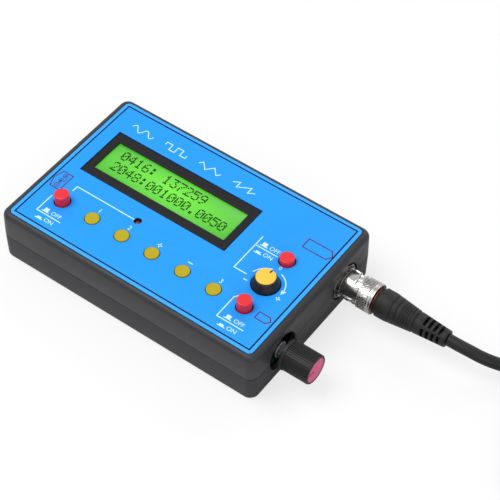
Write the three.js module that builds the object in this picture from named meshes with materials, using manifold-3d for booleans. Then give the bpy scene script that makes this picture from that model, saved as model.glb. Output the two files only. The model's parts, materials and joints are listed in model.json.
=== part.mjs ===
// Desktop function generator: a two-part plastic case with a printed front label, a character display,
// push buttons and keys, two knobs and a coaxial output with its lead plugged in.
// Millimetres, +Z up, +X to the output end, origin at the centre of the case's footprint on the table.
import * as THREE from 'three';
import { mergeVertices } from 'three/addons/utils/BufferGeometryUtils.js';
import Module from 'manifold-3d';

const wasm = await Module();
wasm.setup();

// Case
const caseWidth = 123.5;
const caseDepth = 79.8;
const caseHeight = 24.8;
const caseWall = 2.2;
const caseCornerRadius = 4;
const topRounding = 2.4;
const bottomRounding = 1.2;
const wallDraft = 0.2;
const partingHeight = 12.4;
const partingGap = 0.3;
const lipThickness = 0.8;
const lipHeight = 1.5;
const rimAtEnds = 3.15;
const rimAtSides = 2.6;

// Clearances
const fitGap = 0.3;
const solderGap = 0.1;
const adhesiveGap = 0.05;
const cutOverrun = 1;

// Front label
const labelThickness = 0.5;
const labelProud = 0.2;
const labelCornerRadius = 2;

// Pillars and case screws
const pillarRadius = 3.2;
const pillarInset = 3;
const screwRadius = 1.3;
const screwLength = 14;
const screwHeadRadius = 2.5;
const screwHeadHeight = 1.8;
const screwRecess = 1.2;
const screwSlotWidth = 0.7;
const screwSlotLength = 3;
const screwSlotDepth = 1;

// Main board
const boardThickness = 1.6;
const boardEdgeGap = 0.8;
const standoffHeight = 1.7;
const standoffRadius = 2.5;
const standoffShares = [[0.36, 0.38], [-0.36, 0.38], [0.36, -0.38], [-0.36, -0.38]];

// Display: a standard module of two rows of sixteen characters
const bezelWidth = 71.4;
const bezelDepth = 25;
const bezelHeight = 7;
const bezelSkin = 0.6;
const bezelBelowLabel = 0.2;
const bezelAtEnds = 3.45;
const bezelAtSides = 4.3;
const glassThickness = 1.6;
const glassMargin = 1;
const displayBoardWidth = 80;
const displayBoardDepth = 36;
const displayHoleInset = 2.5;
const displayHoleRadius = 1.2;
const displayBossRadius = 1.4;
const displayBoardGap = 4.55;
const displayDepthShare = 0.1267;
const headerLength = 40.6;
const headerWidth = 2.5;
const headerStripHeight = 2.5;
const headerPins = 16;
const headerPinWidth = 0.64;

// Latching push buttons
const buttonRadius = 3.05;
const buttonHoleRadius = 3.5;
const buttonHeight = 11;
const buttonProud = 4.45;
const buttonEdge = 0.5;
const buttonSocketDepth = 4;
const buttonTravel = 2.8;
const latchDrop = 2.1;
const latchBodyWidth = 8.5;
const latchBodyHeight = 9;
const plungerWidth = 3;
const plungerDepthInBody = 3.2;
const powerShare = -0.3848;
const meterShares = [0.3712, -0.2761];
const offsetButtonShare = 0.3712;
const offsetButtonGapShare = 0.4139;

// Keys
const keyRadius = 2.95;
const keyHoleRadius = 3.25;
const keyProud = 0.4;
const keyEdge = 0.5;
const keyFlangeRadius = 3.9;
const keyFlangeThickness = 0.9;
const keyFlangeDrop = 0.6;
const keyStemRadius = 1.6;
const keyTravel = 0.3;
const keySwitchWidth = 6;
const keySwitchHeight = 3.5;
const keyStemInBody = 0.8;
const keyRowGapShare = 0.2515;
const keyFirstShare = -0.2556;
const keyPitchShare = 0.1262;
const keyCount = 5;

// Indicator lamp
const lampRadius = 1.5;
const lampHoleRadius = 1.65;
const lampBelowLabel = 0.7;
const lampHeight = 5;
const lampLegWidth = 0.5;
const lampLegPitch = 2.54;
const lampDomeSteps = 3;
const lampShare = -0.128;
const lampBoardGap = 1.05;

// Offset potentiometer and knob
const offsetKnobShare = 0.3707;
const offsetKnobGapShare = 0.3966;
const offsetHoleRadius = 5.95;
const offsetKnobRadius = 5.6;
const offsetKnobTopRadius = 4.2;
const offsetKnobProud = 3.9;
const offsetKnobBelow = 3.8;
const offsetKnobShoulder = 0.6;
const offsetCapRadius = 4;
const offsetCapThickness = 0.6;
const offsetCapBevel = 0.25;
const offsetPointerAngle = 84;
const shaftRadius = 3;
const shaftFlat = 0.8;
const shaftInKnob = 5;
const shaftInBody = 2.5;
const offsetPotWidth = 9.8;
const offsetPotHeight = 6.8;
const pointerWidth = 0.7;
const pointerDepth = 0.25;
const pointerLength = 1.7;

// Level potentiometer and knob, in the right end
const portHoleRadius = 8.25;
const levelPillarGap = 4.4;
const levelKnobGap = 1.9;
const levelKnobLength = 13.4;
const levelSkirtRadius = 6.6;
const levelSkirtLength = 1.6;
const levelKnobBaseRadius = 6.2;
const levelKnobTipRadius = 5.95;
const levelKnobEdge = 0.5;
const levelFluteCount = 24;
const levelFluteDepth = 0.3;
const levelCapRadius = 5.25;
const levelCapThickness = 0.8;
const levelCapBelow = 0.1;
const levelPointerAngle = 75;
const levelPointerLength = 4.4;
const levelPotLength = 8;
const levelPotWidth = 12;
const levelPotBackGap = 5.2;
const levelNeckRadius = 3.5;

// Output jack, in the right end
const jackPillarGap = 3.25;
const jackBodyLength = 14;
const jackBodyWidth = 14.5;
const jackNeckRadius = 6.3;
const jackNeckProud = 0.6;
const barrelRadius = 4.8;
const barrelBoreRadius = 4.1;
const barrelLength = 8.1;
const jackPostRadius = 2.2;
const jackPostSetback = 1;
const jackPostBoreRadius = 0.8;
const jackPostBoreDepth = 6.5;
const lugRadius = 1;
const lugReach = 5.5;
const lugAngle = 20;
const lugSetback = 1.6;
const panelNutFlats = 14.2;
const panelNutSides = 6;
const panelNutThickness = 1.8;
const washerRadius = 7.8;
const washerThickness = 0.6;

// Bayonet plug, the same at both ends of the lead; lengths run from the coupling nut's rim
const nutBoreRadius = 5.1;
const nutSkirtRadius = 5.8;
const nutSkirtLength = 7.2;
const nutKnurlRadius = 6.5;
const nutKnurlStart = 7.6;
const nutKnurlLength = 4.2;
const nutKnurlTeeth = 24;
const nutKnurlDepth = 0.22;
const nutBandRadius = 6.6;
const nutLength = 14.2;
const nutRearBoreRadius = 6.15;
const nutRearBoreDepth = 1.6;
const nutGrooveDepth = 0.5;
const nutGrooveWidth = 0.5;
const nutTravel = 1.5;
const slotTurn = 90;
const slotSteps = 6;
const earRadius = 6.5;
const earStart = 2;
const earOverlap = 0.3;
const earLead = 16;
const earSteps = 8;
const detentBossRadius = 2.3;
const plugSleeveRadius = 3.8;
const plugSleeveBore = 2.6;
const plugSleeveFront = 1.4;
const plugFlangeRadius = 4.75;
const plugFlangeLength = 1.5;
const plugNeckRadius = 3.9;
const thrustRingRadius = 4.8;
const thrustRingThickness = 0.8;
const plugRearRadius = 4.4;
const plugRearEnd = 21;
const plugPinRadius = 0.5;
const plugPinSetback = 1;
const gasketRadius = 5.8;
const gasketThickness = 0.6;
const gasketGap = 0.2;
const bootNeckRadius = 5.4;
const bootShoulder = 16.2;
const bootRadius = 6.05;
const bootStraightEnd = 20;
const bootStep = 32.8;
const bootStepRadius = 4.6;
const bootReliefRadius = 4.1;
const bootEnd = 46.1;
const bootEndRadius = 3.45;
const bootRibs = 4;
const bootRibPitch = 1.2;
const bootRibDepth = 0.2;
const bootRibStart = 26.4;
const reliefSlots = 4;
const reliefSlotPitch = 2.9;
const reliefSlotWidth = 1.1;
const reliefSlotDepth = 1;
const reliefSlotStart = 34.6;

// Power inlet, in the left end
const inletSwitchGap = 0.35;
const inletHoleRadius = 4.75;
const inletWidth = 8;
const inletHeight = 9.9;
const inletLength = 14;
const inletBoreRadius = 3.1;
const inletBoreDepth = 9;
const inletPinRadius = 1;

// Parts on the main board
const chipHeight = 1.4;
const chipLegSpread = 0.8;
const chipLegHeight = 0.4;
const controllerWidth = 10;
const controllerShares = [-0.1, -0.02];
const amplifierWidth = 5;
const amplifierDepth = 6;
const amplifierShares = [0.2, 0.3];
const capacitorRadius = 3.2;
const capacitorHeight = 7;
const capacitorGroove = 0.3;
const capacitorShares = [0.29, 0.36];

// Lead
const cableRadius = 2.5;
const cableSides = 10;
const cableSteps = 18;
const coilSides = 6;
const coilStepsPerTurn = 24;
const coilTurns = 5.35;
const coilMidRadius = 27.5;
const coilPitch = 5.6;
const coilLayerRise = 5.6;
const coilClimbTurns = 0.5;
const coilTail = 12;
const coilStart = 5;
const runStraight = 10;
const tieThickness = 0.6;
const tieWidth = 9;
const tieCornerRadius = 1.2;
const tieAngle = 60;
const coilCentre = [181, 16];
const coilEntryAngle = 125;
const leadPoints = [
  [109.1, 20.8, 12.4],
  [114.1, 20.9, 12.3],
  [118.3, 21.4, 11.8],
  [122.3, 22.2, 10.8],
  [126, 23.6, 9.5],
  [129.5, 25.5, 8],
  [134.4, 28.3, 6],
  [139.4, 31.4, 4.6],
  [143.7, 34, 3.8],
];

// Fineness of round shapes
const fineSides = 24;
const plainSides = 16;
const smallSides = 8;
const cornerSteps = 4;
const roundingSteps = 3;
const mergeDistance = 1e-5;

// Values that follow from the driving dimensions
const halfTurn = Math.PI;
const quarterTurn = halfTurn / 2;
const fullTurn = halfTurn * 2;
const labelWidth = caseWidth - 2 * rimAtEnds;
const labelDepth = caseDepth - 2 * rimAtSides;
const labelTop = caseHeight + labelProud;
const labelBottom = labelTop - labelThickness;
const viewWidth = bezelWidth - 2 * bezelAtEnds;
const viewDepth = bezelDepth - 2 * bezelAtSides;
const pocketFloor = labelBottom - adhesiveGap;
const plateBottom = caseHeight - caseWall;
const innerWidth = caseWidth - 2 * (wallDraft + caseWall);
const innerDepth = caseDepth - 2 * (wallDraft + caseWall);
const innerCornerRadius = caseCornerRadius - caseWall;
const pillarX = innerWidth / 2 - pillarInset;
const pillarY = innerDepth / 2 - pillarInset;
const boardBottom = caseWall + standoffHeight + fitGap;
const boardTop = boardBottom + boardThickness;
const partsBottom = boardTop + solderGap;
const endFace = caseWidth / 2;
const innerEnd = innerWidth / 2;
const portHeight = partingHeight;
const levelY = -(pillarY - pillarRadius - levelPillarGap - levelPotWidth / 2);
const outputY = pillarY - pillarRadius - jackPillarGap - jackBodyWidth / 2;
const jackBodyHeight = 2 * (portHeight - partsBottom);
const jackFace = endFace + jackNeckProud;
const nutRim = jackFace + fitGap;
const barrelEnd = jackFace + barrelLength;
const lugDistance = barrelEnd - lugSetback - nutRim;
const flangeStart = barrelEnd + fitGap - nutRim;
const gasketStart = nutLength + gasketGap;
const bootNeckStart = gasketStart + gasketThickness + fitGap;

const radians = (degrees) => THREE.MathUtils.degToRad(degrees);
const place = (shares) => [shares[0] * labelWidth, shares[1] * labelDepth];

// Places on the front panel. The display's board starts at the case's left wall, the lamp lies just past
// the board, and the key row shares the room from there to the front wall. The offset control and its
// button share the free room between the meter button's switch and the output jack.
const displaySpot = [displayBoardGap + displayBoardWidth / 2 - innerEnd, displayDepthShare * labelDepth];
const lampEdge = displaySpot[1] - displayBoardDepth / 2 - lampBoardGap - 2 * lampRadius;
const lampSpot = [lampShare * labelWidth, lampEdge + lampRadius];
const keyRowRoom = lampEdge + innerDepth / 2 - 2 * keyFlangeRadius;
const keyRowY = lampEdge - keyRowGapShare * keyRowRoom - keyFlangeRadius;
const powerSpot = [powerShare * labelWidth, keyRowY];
const meterSpot = place(meterShares);
const rowStart = meterSpot[1] + latchBodyWidth / 2;
const freeRoom = outputY - jackBodyWidth / 2 - rowStart - offsetPotWidth - latchBodyWidth;
const offsetY = rowStart + offsetKnobGapShare * freeRoom + offsetPotWidth / 2;
const offsetButtonY = offsetY + (offsetPotWidth + latchBodyWidth) / 2 + offsetButtonGapShare * freeRoom;
const offsetSpot = [offsetKnobShare * labelWidth, offsetY];
const offsetButtonSpot = [offsetButtonShare * labelWidth, offsetButtonY];
const inletY = powerSpot[1] + (latchBodyWidth + inletWidth) / 2 + inletSwitchGap;

// Bodies: closed meshes that can be joined and cut

function signedVolume(positions, corners) {
  let sum = 0;
  const [a, b, c] = [new THREE.Vector3(), new THREE.Vector3(), new THREE.Vector3()];
  for (let i = 0; i < corners.length; i += 3) {
    a.fromArray(positions, 3 * corners[i]);
    b.fromArray(positions, 3 * corners[i + 1]);
    c.fromArray(positions, 3 * corners[i + 2]);
    sum += a.dot(b.cross(c));
  }
  return sum;
}

function bodyOf(geometry) {
  const bare = geometry.clone();
  bare.deleteAttribute('normal');
  bare.deleteAttribute('uv');
  const merged = mergeVertices(bare, mergeDistance);
  const positions = Float32Array.from(merged.attributes.position.array);
  const corners = [];
  for (let i = 0; i < merged.index.count; i += 3) {
    const [a, b, c] = [0, 1, 2].map((k) => merged.index.getX(i + k));
    if (a !== b && b !== c && c !== a) corners.push(a, b, c);
  }
  if (signedVolume(positions, corners) < 0) corners.reverse();
  const triVerts = Uint32Array.from(corners);
  return new wasm.Manifold(new wasm.Mesh({ numProp: 3, vertProperties: positions, triVerts }));
}

function geometryOf(body) {
  const { vertProperties, triVerts } = body.getMesh();
  const geometry = new THREE.BufferGeometry();
  geometry.setAttribute('position', new THREE.BufferAttribute(Float32Array.from(vertProperties), 3));
  geometry.setIndex(new THREE.BufferAttribute(Uint32Array.from(triVerts), 1));
  geometry.computeVertexNormals();
  return geometry;
}

function joined(bodies) {
  return bodies.reduce((whole, body) => whole.add(body));
}

function cut(body, tools) {
  return tools.reduce((rest, tool) => rest.subtract(tool), body);
}

// Frames: each turns a shape built along +Z to its place

const upright = (x, y, z) => new THREE.Matrix4().makeTranslation(x, y, z);

// The frame's own X is the first direction given, its Z the second
function framed(position, sideways, forward) {
  const z = new THREE.Vector3(...forward).normalize();
  const x = new THREE.Vector3(...sideways).projectOnPlane(z).normalize();
  const y = new THREE.Vector3().crossVectors(z, x);
  return new THREE.Matrix4().makeBasis(x, y, z).setPosition(...position);
}

const towardOutput = (x, y) => framed([x, y, portHeight], [0, 0, 1], [1, 0, 0]);
const towardInlet = (x, y) => framed([x, y, portHeight], [0, 0, 1], [-1, 0, 0]);

// Shapes

function block(width, depth, height, x, y, bottom, frame = upright(0, 0, 0)) {
  const geometry = new THREE.BoxGeometry(width, depth, height);
  geometry.translate(x, y, bottom + height / 2);
  return bodyOf(geometry.applyMatrix4(frame));
}

function turned(profile, frame, sides = plainSides) {
  const points = profile.map(([radius, height]) => new THREE.Vector2(radius, height));
  const geometry = new THREE.LatheGeometry(points, sides);
  return bodyOf(geometry.rotateX(quarterTurn).applyMatrix4(frame));
}

function rod(radius, start, end, frame, sides = plainSides) {
  return turned([[0, start], [radius, start], [radius, end], [0, end]], frame, sides);
}

function flatRing(bore, reach, start, thickness, frame, sides = plainSides) {
  const end = start + thickness;
  return turned([[bore, start], [reach, start], [reach, end], [bore, end], [bore, start]], frame, sides);
}

function extruded(outline, start, end, frame) {
  const shape = new THREE.Shape(outline.map(([x, y]) => new THREE.Vector2(x, y)));
  const geometry = new THREE.ExtrudeGeometry(shape, { depth: end - start, bevelEnabled: false });
  return bodyOf(geometry.translate(0, 0, start).applyMatrix4(frame));
}

// A rounded rectangle, counterclockwise from its right side
function roundedOutline(width, depth, radius) {
  const points = [];
  for (let corner = 0; corner < 4; corner += 1) {
    const start = corner * quarterTurn;
    const sideX = Math.sign(Math.cos(start + quarterTurn / 2));
    const sideY = Math.sign(Math.sin(start + quarterTurn / 2));
    for (let step = 0; step <= cornerSteps; step += 1) {
      const angle = start + (quarterTurn * step) / cornerSteps;
      points.push([
        sideX * (width / 2 - radius) + radius * Math.cos(angle),
        sideY * (depth / 2 - radius) + radius * Math.sin(angle),
      ]);
    }
  }
  return points;
}

// Joins rings with the same number of points into one closed solid
function lofted(rings) {
  const count = rings[0].length;
  const positions = rings.flat(2);
  const corners = [];
  for (let ring = 0; ring + 1 < rings.length; ring += 1) {
    for (let i = 0; i < count; i += 1) {
      const next = (i + 1) % count;
      const [a, b] = [ring * count + i, ring * count + next];
      corners.push(a, b, b + count, a, b + count, a + count);
    }
  }
  const last = (rings.length - 1) * count;
  for (let i = 1; i + 1 < count; i += 1) {
    corners.push(0, i + 1, i, last, last + i, last + i + 1);
  }
  const geometry = new THREE.BufferGeometry();
  geometry.setAttribute('position', new THREE.Float32BufferAttribute(positions, 3));
  geometry.setIndex(corners);
  return bodyOf(geometry);
}

// One level of a rounded box: how far its sides are drawn in, and its height
function caseRing(inset, height) {
  const width = caseWidth - 2 * inset;
  const depth = caseDepth - 2 * inset;
  return roundedOutline(width, depth, caseCornerRadius).map(([x, y]) => [x, y, height]);
}

// A fluted disc or knurled band
function toothedOutline(radius, toothDepth, teeth) {
  const points = [];
  for (let tooth = 0; tooth < teeth; tooth += 1) {
    for (const [lag, reach] of [[0, radius], [1 / 2, radius - toothDepth]]) {
      const angle = (fullTurn * (tooth + lag)) / teeth;
      points.push([reach * Math.cos(angle), reach * Math.sin(angle)]);
    }
  }
  return points;
}

const model = new THREE.Group();

function finish(color, roughness, metalness = 0) {
  return { color, roughness, metalness };
}

const casePlastic = finish(0x35363a, 0.5);
const labelBlue = finish(0x32a3ff, 0.45);
const bezelBlack = finish(0x111214, 0.4);
const displayGreen = finish(0x78e63c, 0.3);
const boardGreen = finish(0x1d6b3a, 0.6);
const partBlack = finish(0x1b1b1d, 0.6);
const capRed = finish(0xf0323c, 0.45);
const keyYellow = finish(0xb9b914, 0.5);
const knobYellow = finish(0xffd24a, 0.45);
const knobPink = finish(0xd25f87, 0.5);
const brightMetal = finish(0xd8d8dc, 0.25, 1);
const zincMetal = finish(0xb4b6ba, 0.4, 1);
const copperMetal = finish(0xb8693a, 0.35, 1);
const rubberBlack = finish(0x202022, 0.7);
const plungerWhite = finish(0xe8e6dd, 0.6);

function addPiece(name, body, look) {
  const mesh = new THREE.Mesh(geometryOf(body), new THREE.MeshStandardMaterial(look));
  mesh.name = name;
  model.add(mesh);
}

// Case halves

const pillarPlaces = [[1, 1], [-1, 1], [-1, -1], [1, -1]].map(([x, y]) => [x * pillarX, y * pillarY]);
const screwHeadTop = screwRecess + screwHeadHeight;

function caseCavity(start, end) {
  return extruded(roundedOutline(innerWidth, innerDepth, innerCornerRadius), start, end, upright(0, 0, 0));
}

function portCuts() {
  const reach = caseWall + wallDraft + 2 * cutOverrun;
  const inside = innerEnd - cutOverrun;
  return [
    rod(portHoleRadius, 0, reach, towardOutput(inside, outputY), fineSides),
    rod(portHoleRadius, 0, reach, towardOutput(inside, levelY), fineSides),
    rod(inletHoleRadius, 0, reach, towardInlet(-inside, inletY)),
  ];
}

function bottomCase() {
  const rim = partingHeight - partingGap / 2;
  const rings = [];
  for (let step = 0; step <= roundingSteps; step += 1) {
    const angle = (quarterTurn * step) / roundingSteps;
    const drawnIn = bottomRounding * (1 - Math.sin(angle));
    rings.push(caseRing(wallDraft + drawnIn, bottomRounding * (1 - Math.cos(angle))));
  }
  rings.push(caseRing(0, rim));
  const shell = lofted(rings).subtract(caseCavity(caseWall, rim + cutOverrun));
  const lipOutline = [innerWidth + 2 * lipThickness, innerDepth + 2 * lipThickness];
  const lipOuter = roundedOutline(...lipOutline, innerCornerRadius + lipThickness);
  const lip = extruded(lipOuter, rim - lipThickness, rim + lipHeight, upright(0, 0, 0))
    .subtract(caseCavity(rim - lipThickness - cutOverrun, rim + lipHeight + cutOverrun));
  const posts = pillarPlaces.map(([x, y]) => rod(pillarRadius, caseWall / 2, rim, upright(x, y, 0)));
  const standoffs = standoffShares.map(([x, y]) => (
    rod(standoffRadius, caseWall / 2, caseWall + standoffHeight, upright(x * innerWidth, y * innerDepth, 0))
  ));
  const screwHoles = pillarPlaces.flatMap(([x, y]) => [
    rod(screwHeadRadius + fitGap, -cutOverrun, screwHeadTop + fitGap, upright(x, y, 0)),
    rod(screwRadius + fitGap, 0, rim + cutOverrun, upright(x, y, 0), smallSides),
  ]);
  return cut(joined([shell, lip, ...posts, ...standoffs]), [...screwHoles, ...portCuts()]);
}

function displayHolePlaces() {
  const [x, y] = displaySpot;
  const reachX = displayBoardWidth / 2 - displayHoleInset;
  const reachY = displayBoardDepth / 2 - displayHoleInset;
  return [[1, 1], [-1, 1], [-1, -1], [1, -1]].map(([a, b]) => [x + a * reachX, y + b * reachY]);
}

function keyPlaces() {
  const shares = Array.from({ length: keyCount }, (_, i) => keyFirstShare + i * keyPitchShare);
  return shares.map((share) => [share * labelWidth, keyRowY]);
}

// The holes through the top plate and the label, with one depth for all
function controlHoles(start, end) {
  const buttons = [powerSpot, meterSpot, offsetButtonSpot];
  return [
    block(bezelWidth + 2 * fitGap, bezelDepth + 2 * fitGap, end - start, ...displaySpot, start),
    ...buttons.map(([x, y]) => rod(buttonHoleRadius, start, end, upright(x, y, 0))),
    ...keyPlaces().map(([x, y]) => rod(keyHoleRadius, start, end, upright(x, y, 0))),
    rod(lampHoleRadius, start, end, upright(...lampSpot, 0)),
    rod(offsetHoleRadius, start, end, upright(...offsetSpot, 0), fineSides),
  ];
}

const bezelTop = labelTop - bezelBelowLabel;
const bezelBottom = bezelTop - bezelHeight;
const displayBoardTop = bezelBottom - solderGap;
const displayBoardBottom = displayBoardTop - boardThickness;

function topCase() {
  const rim = partingHeight + partingGap / 2;
  const rings = [caseRing(0, rim)];
  for (let step = 0; step <= roundingSteps; step += 1) {
    const angle = (quarterTurn * step) / roundingSteps;
    const drawnIn = topRounding * (1 - Math.cos(angle));
    rings.push(caseRing(wallDraft + drawnIn, caseHeight - topRounding * (1 - Math.sin(angle))));
  }
  const shell = lofted(rings).subtract(caseCavity(rim - cutOverrun, plateBottom));
  const rebateReach = 2 * (lipThickness + fitGap);
  const rebateOutline = roundedOutline(
    innerWidth + rebateReach,
    innerDepth + rebateReach,
    innerCornerRadius + rebateReach / 2,
  );
  const lipTop = partingHeight - partingGap / 2 + lipHeight;
  const rebate = extruded(rebateOutline, rim - cutOverrun, lipTop + fitGap, upright(0, 0, 0));
  const pocketSize = [labelWidth + 2 * fitGap, labelDepth + 2 * fitGap];
  const pocketOutline = roundedOutline(...pocketSize, labelCornerRadius + fitGap);
  const pocket = extruded(pocketOutline, pocketFloor, caseHeight + cutOverrun, upright(0, 0, 0));
  const pillars = pillarPlaces.map(([x, y]) => (
    rod(pillarRadius, rim, plateBottom + caseWall / 2, upright(x, y, 0))
  ));
  const bosses = displayHolePlaces().map(([x, y]) => (
    rod(displayBossRadius, displayBoardTop + fitGap, plateBottom + caseWall / 2, upright(x, y, 0), smallSides)
  ));
  const screwTip = screwHeadTop + screwLength;
  const pilots = pillarPlaces.map(([x, y]) => (
    rod(screwRadius + fitGap, rim - cutOverrun, screwTip + cutOverrun, upright(x, y, 0), smallSides)
  ));
  const holes = controlHoles(plateBottom - cutOverrun, caseHeight + cutOverrun);
  const lipGap = lipClearanceRing(rebate);
  return cut(joined([shell, ...pillars, ...bosses]), [lipGap, pocket, ...pilots, ...holes, ...portCuts()]);
}

// The rebate stops short of the pillars, which the lip passes
function lipClearanceRing(rebate) {
  const keepOutline = [innerWidth - 2 * fitGap, innerDepth - 2 * fitGap];
  const keep = extruded(roundedOutline(...keepOutline, innerCornerRadius), 0, caseHeight, upright(0, 0, 0));
  return rebate.subtract(keep);
}

function frontLabel() {
  const outline = roundedOutline(labelWidth, labelDepth, labelCornerRadius);
  const sheet = extruded(outline, labelBottom, labelTop, upright(0, 0, 0));
  return cut(sheet, controlHoles(labelBottom - cutOverrun, labelTop + cutOverrun));
}

function caseScrew([x, y]) {
  const profile = [
    [0, screwRecess],
    [screwHeadRadius - screwRecess / 2, screwRecess],
    [screwHeadRadius, screwHeadTop - screwHeadHeight / 2],
    [screwHeadRadius, screwHeadTop],
    [screwRadius, screwHeadTop],
    [screwRadius, screwHeadTop + screwLength - screwRadius],
    [0, screwHeadTop + screwLength],
  ];
  const slotBottom = screwRecess - cutOverrun;
  const slotHeight = screwSlotDepth + cutOverrun;
  return cut(turned(profile, upright(x, y, 0)), [
    block(screwSlotLength, screwSlotWidth, slotHeight, x, y, slotBottom),
    block(screwSlotWidth, screwSlotLength, slotHeight, x, y, slotBottom),
  ]);
}

addPiece('bottom_case', bottomCase(), casePlastic);
addPiece('top_case', topCase(), casePlastic);
addPiece('front_label', frontLabel(), labelBlue);
pillarPlaces.forEach((spot, i) => addPiece(`case_screw_${i + 1}`, caseScrew(spot), zincMetal));

// Main board and the parts on it

function mainBoard() {
  const halfWidth = innerWidth / 2 - boardEdgeGap;
  const halfDepth = innerDepth / 2 - boardEdgeGap;
  const notchX = pillarX - pillarRadius - boardEdgeGap;
  const notchY = pillarY - pillarRadius - boardEdgeGap;
  const outline = [
    [halfWidth, -notchY], [halfWidth, notchY], [notchX, notchY], [notchX, halfDepth],
    [-notchX, halfDepth], [-notchX, notchY], [-halfWidth, notchY], [-halfWidth, -notchY],
    [-notchX, -notchY], [-notchX, -halfDepth], [notchX, -halfDepth], [notchX, -notchY],
  ];
  return extruded(outline, boardBottom, boardTop, upright(0, 0, 0));
}

function chip(width, depth, shares) {
  const [x, y] = place(shares);
  const legs = block(width + 2 * chipLegSpread, depth, chipLegHeight, x, y, partsBottom);
  return legs.add(block(width, depth, chipHeight - chipLegHeight / 2, x, y, partsBottom + chipLegHeight / 2));
}

function supplyCapacitor() {
  const bottom = partsBottom;
  const top = bottom + capacitorHeight;
  return turned([
    [0, bottom],
    [capacitorRadius, bottom],
    [capacitorRadius, bottom + 2 * capacitorGroove],
    [capacitorRadius - capacitorGroove, bottom + 3 * capacitorGroove],
    [capacitorRadius, bottom + 4 * capacitorGroove],
    [capacitorRadius, top - capacitorGroove],
    [capacitorRadius - capacitorGroove, top],
    [0, top],
  ], upright(...place(capacitorShares), 0));
}

addPiece('main_board', mainBoard(), boardGreen);
addPiece('controller_chip', chip(controllerWidth, controllerWidth, controllerShares), partBlack);
addPiece('amplifier_chip', chip(amplifierWidth, amplifierDepth, amplifierShares), partBlack);
addPiece('supply_capacitor', supplyCapacitor(), bezelBlack);

// Display

const glassTop = bezelTop - bezelSkin - solderGap;
const glassBottom = glassTop - glassThickness;
const glassWidth = viewWidth + 2 * glassMargin;
const glassDepth = viewDepth + 2 * glassMargin;

function displayBezel() {
  const [x, y] = displaySpot;
  const cavityWidth = glassWidth + 2 * fitGap;
  const cavityDepth = glassDepth + 2 * fitGap;
  const cavityHeight = bezelHeight - bezelSkin + cutOverrun;
  return cut(block(bezelWidth, bezelDepth, bezelHeight, x, y, bezelBottom), [
    block(cavityWidth, cavityDepth, cavityHeight, x, y, bezelBottom - cutOverrun),
    block(viewWidth, viewDepth, bezelHeight, x, y, bezelBottom + cutOverrun),
  ]);
}

function displayGlass() {
  return block(glassWidth, glassDepth, glassThickness, ...displaySpot, glassBottom);
}

function displayBacklight() {
  const bottom = displayBoardTop + solderGap;
  return block(glassWidth, glassDepth, glassBottom - solderGap - bottom, ...displaySpot, bottom);
}

function displayBoard() {
  const [x, y] = displaySpot;
  const sheet = block(displayBoardWidth, displayBoardDepth, boardThickness, x, y, displayBoardBottom);
  const [start, end] = [displayBoardBottom - cutOverrun, displayBoardTop + cutOverrun];
  const holes = displayHolePlaces().map(([holeX, holeY]) => (
    rod(displayHoleRadius, start, end, upright(holeX, holeY, 0), smallSides)
  ));
  return cut(sheet, holes);
}

// A socket strip on the main board, a strip under the display board, and the pins between them
function displayHeader() {
  const [displayX, displayY] = displaySpot;
  const y = displayY + displayBoardDepth / 2 - displayHoleInset;
  const top = displayBoardBottom - solderGap;
  const pinPitch = headerLength / headerPins;
  const lower = block(headerLength, headerWidth, headerStripHeight, displayX, y, partsBottom);
  const upper = block(headerLength, headerWidth, headerStripHeight, displayX, y, top - headerStripHeight);
  const pins = Array.from({ length: headerPins }, (_, i) => {
    const x = displayX + (i - (headerPins - 1) / 2) * pinPitch;
    return block(headerPinWidth, headerPinWidth, top - partsBottom, x, y, partsBottom);
  });
  return joined([lower, upper, ...pins]);
}

addPiece('display_bezel', displayBezel(), bezelBlack);
addPiece('display_glass', displayGlass(), displayGreen);
addPiece('display_backlight', displayBacklight(), plungerWhite);
addPiece('display_board', displayBoard(), boardGreen);
addPiece('display_header', displayHeader(), partBlack);

// Latching push buttons

const latchBodyTop = partsBottom + latchBodyHeight;

function latchBody([x, y]) {
  const well = plungerWidth + 2 * fitGap;
  const wellDepth = plungerDepthInBody + buttonTravel + fitGap;
  const body = block(latchBodyWidth, latchBodyWidth, latchBodyHeight, x, y, partsBottom);
  return body.subtract(block(well, well, wellDepth + cutOverrun, x, y, latchBodyTop - wellDepth));
}

function plunger([x, y], drop) {
  const bottom = latchBodyTop - plungerDepthInBody;
  const top = labelTop + buttonProud - buttonHeight + buttonSocketDepth - fitGap;
  return block(plungerWidth, plungerWidth, top - bottom, x, y, bottom - drop);
}

function buttonCap([x, y], drop) {
  const top = labelTop + buttonProud - drop;
  const bottom = top - buttonHeight;
  const bend = buttonEdge * (1 - Math.SQRT1_2);
  const profile = [
    [0, bottom],
    [buttonRadius, bottom],
    [buttonRadius, top - buttonEdge],
    [buttonRadius - bend, top - bend],
    [buttonRadius - buttonEdge, top],
    [0, top],
  ];
  const socket = plungerWidth + 2 * fitGap;
  const hollow = block(socket, socket, buttonSocketDepth + cutOverrun, x, y, bottom - cutOverrun);
  return turned(profile, upright(x, y, 0)).subtract(hollow);
}

const buttons = [['power', powerSpot, 0], ['meter', meterSpot, 0], ['offset', offsetButtonSpot, latchDrop]];
for (const [name, spot, drop] of buttons) {
  addPiece(`${name}_switch`, latchBody(spot), partBlack);
  addPiece(`${name}_plunger`, plunger(spot, drop), plungerWhite);
  addPiece(`${name}_button`, buttonCap(spot, drop), capRed);
}

// Keys: each cap has its stem down into a small switch

const keySwitchTop = partsBottom + keySwitchHeight;

function keySwitch([x, y]) {
  const wellDepth = keyStemInBody + keyTravel + fitGap;
  const body = block(keySwitchWidth, keySwitchWidth, keySwitchHeight, x, y, partsBottom);
  const [start, end] = [keySwitchTop - wellDepth, keySwitchTop + cutOverrun];
  return body.subtract(rod(keyStemRadius + fitGap, start, end, upright(x, y, 0)));
}

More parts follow.
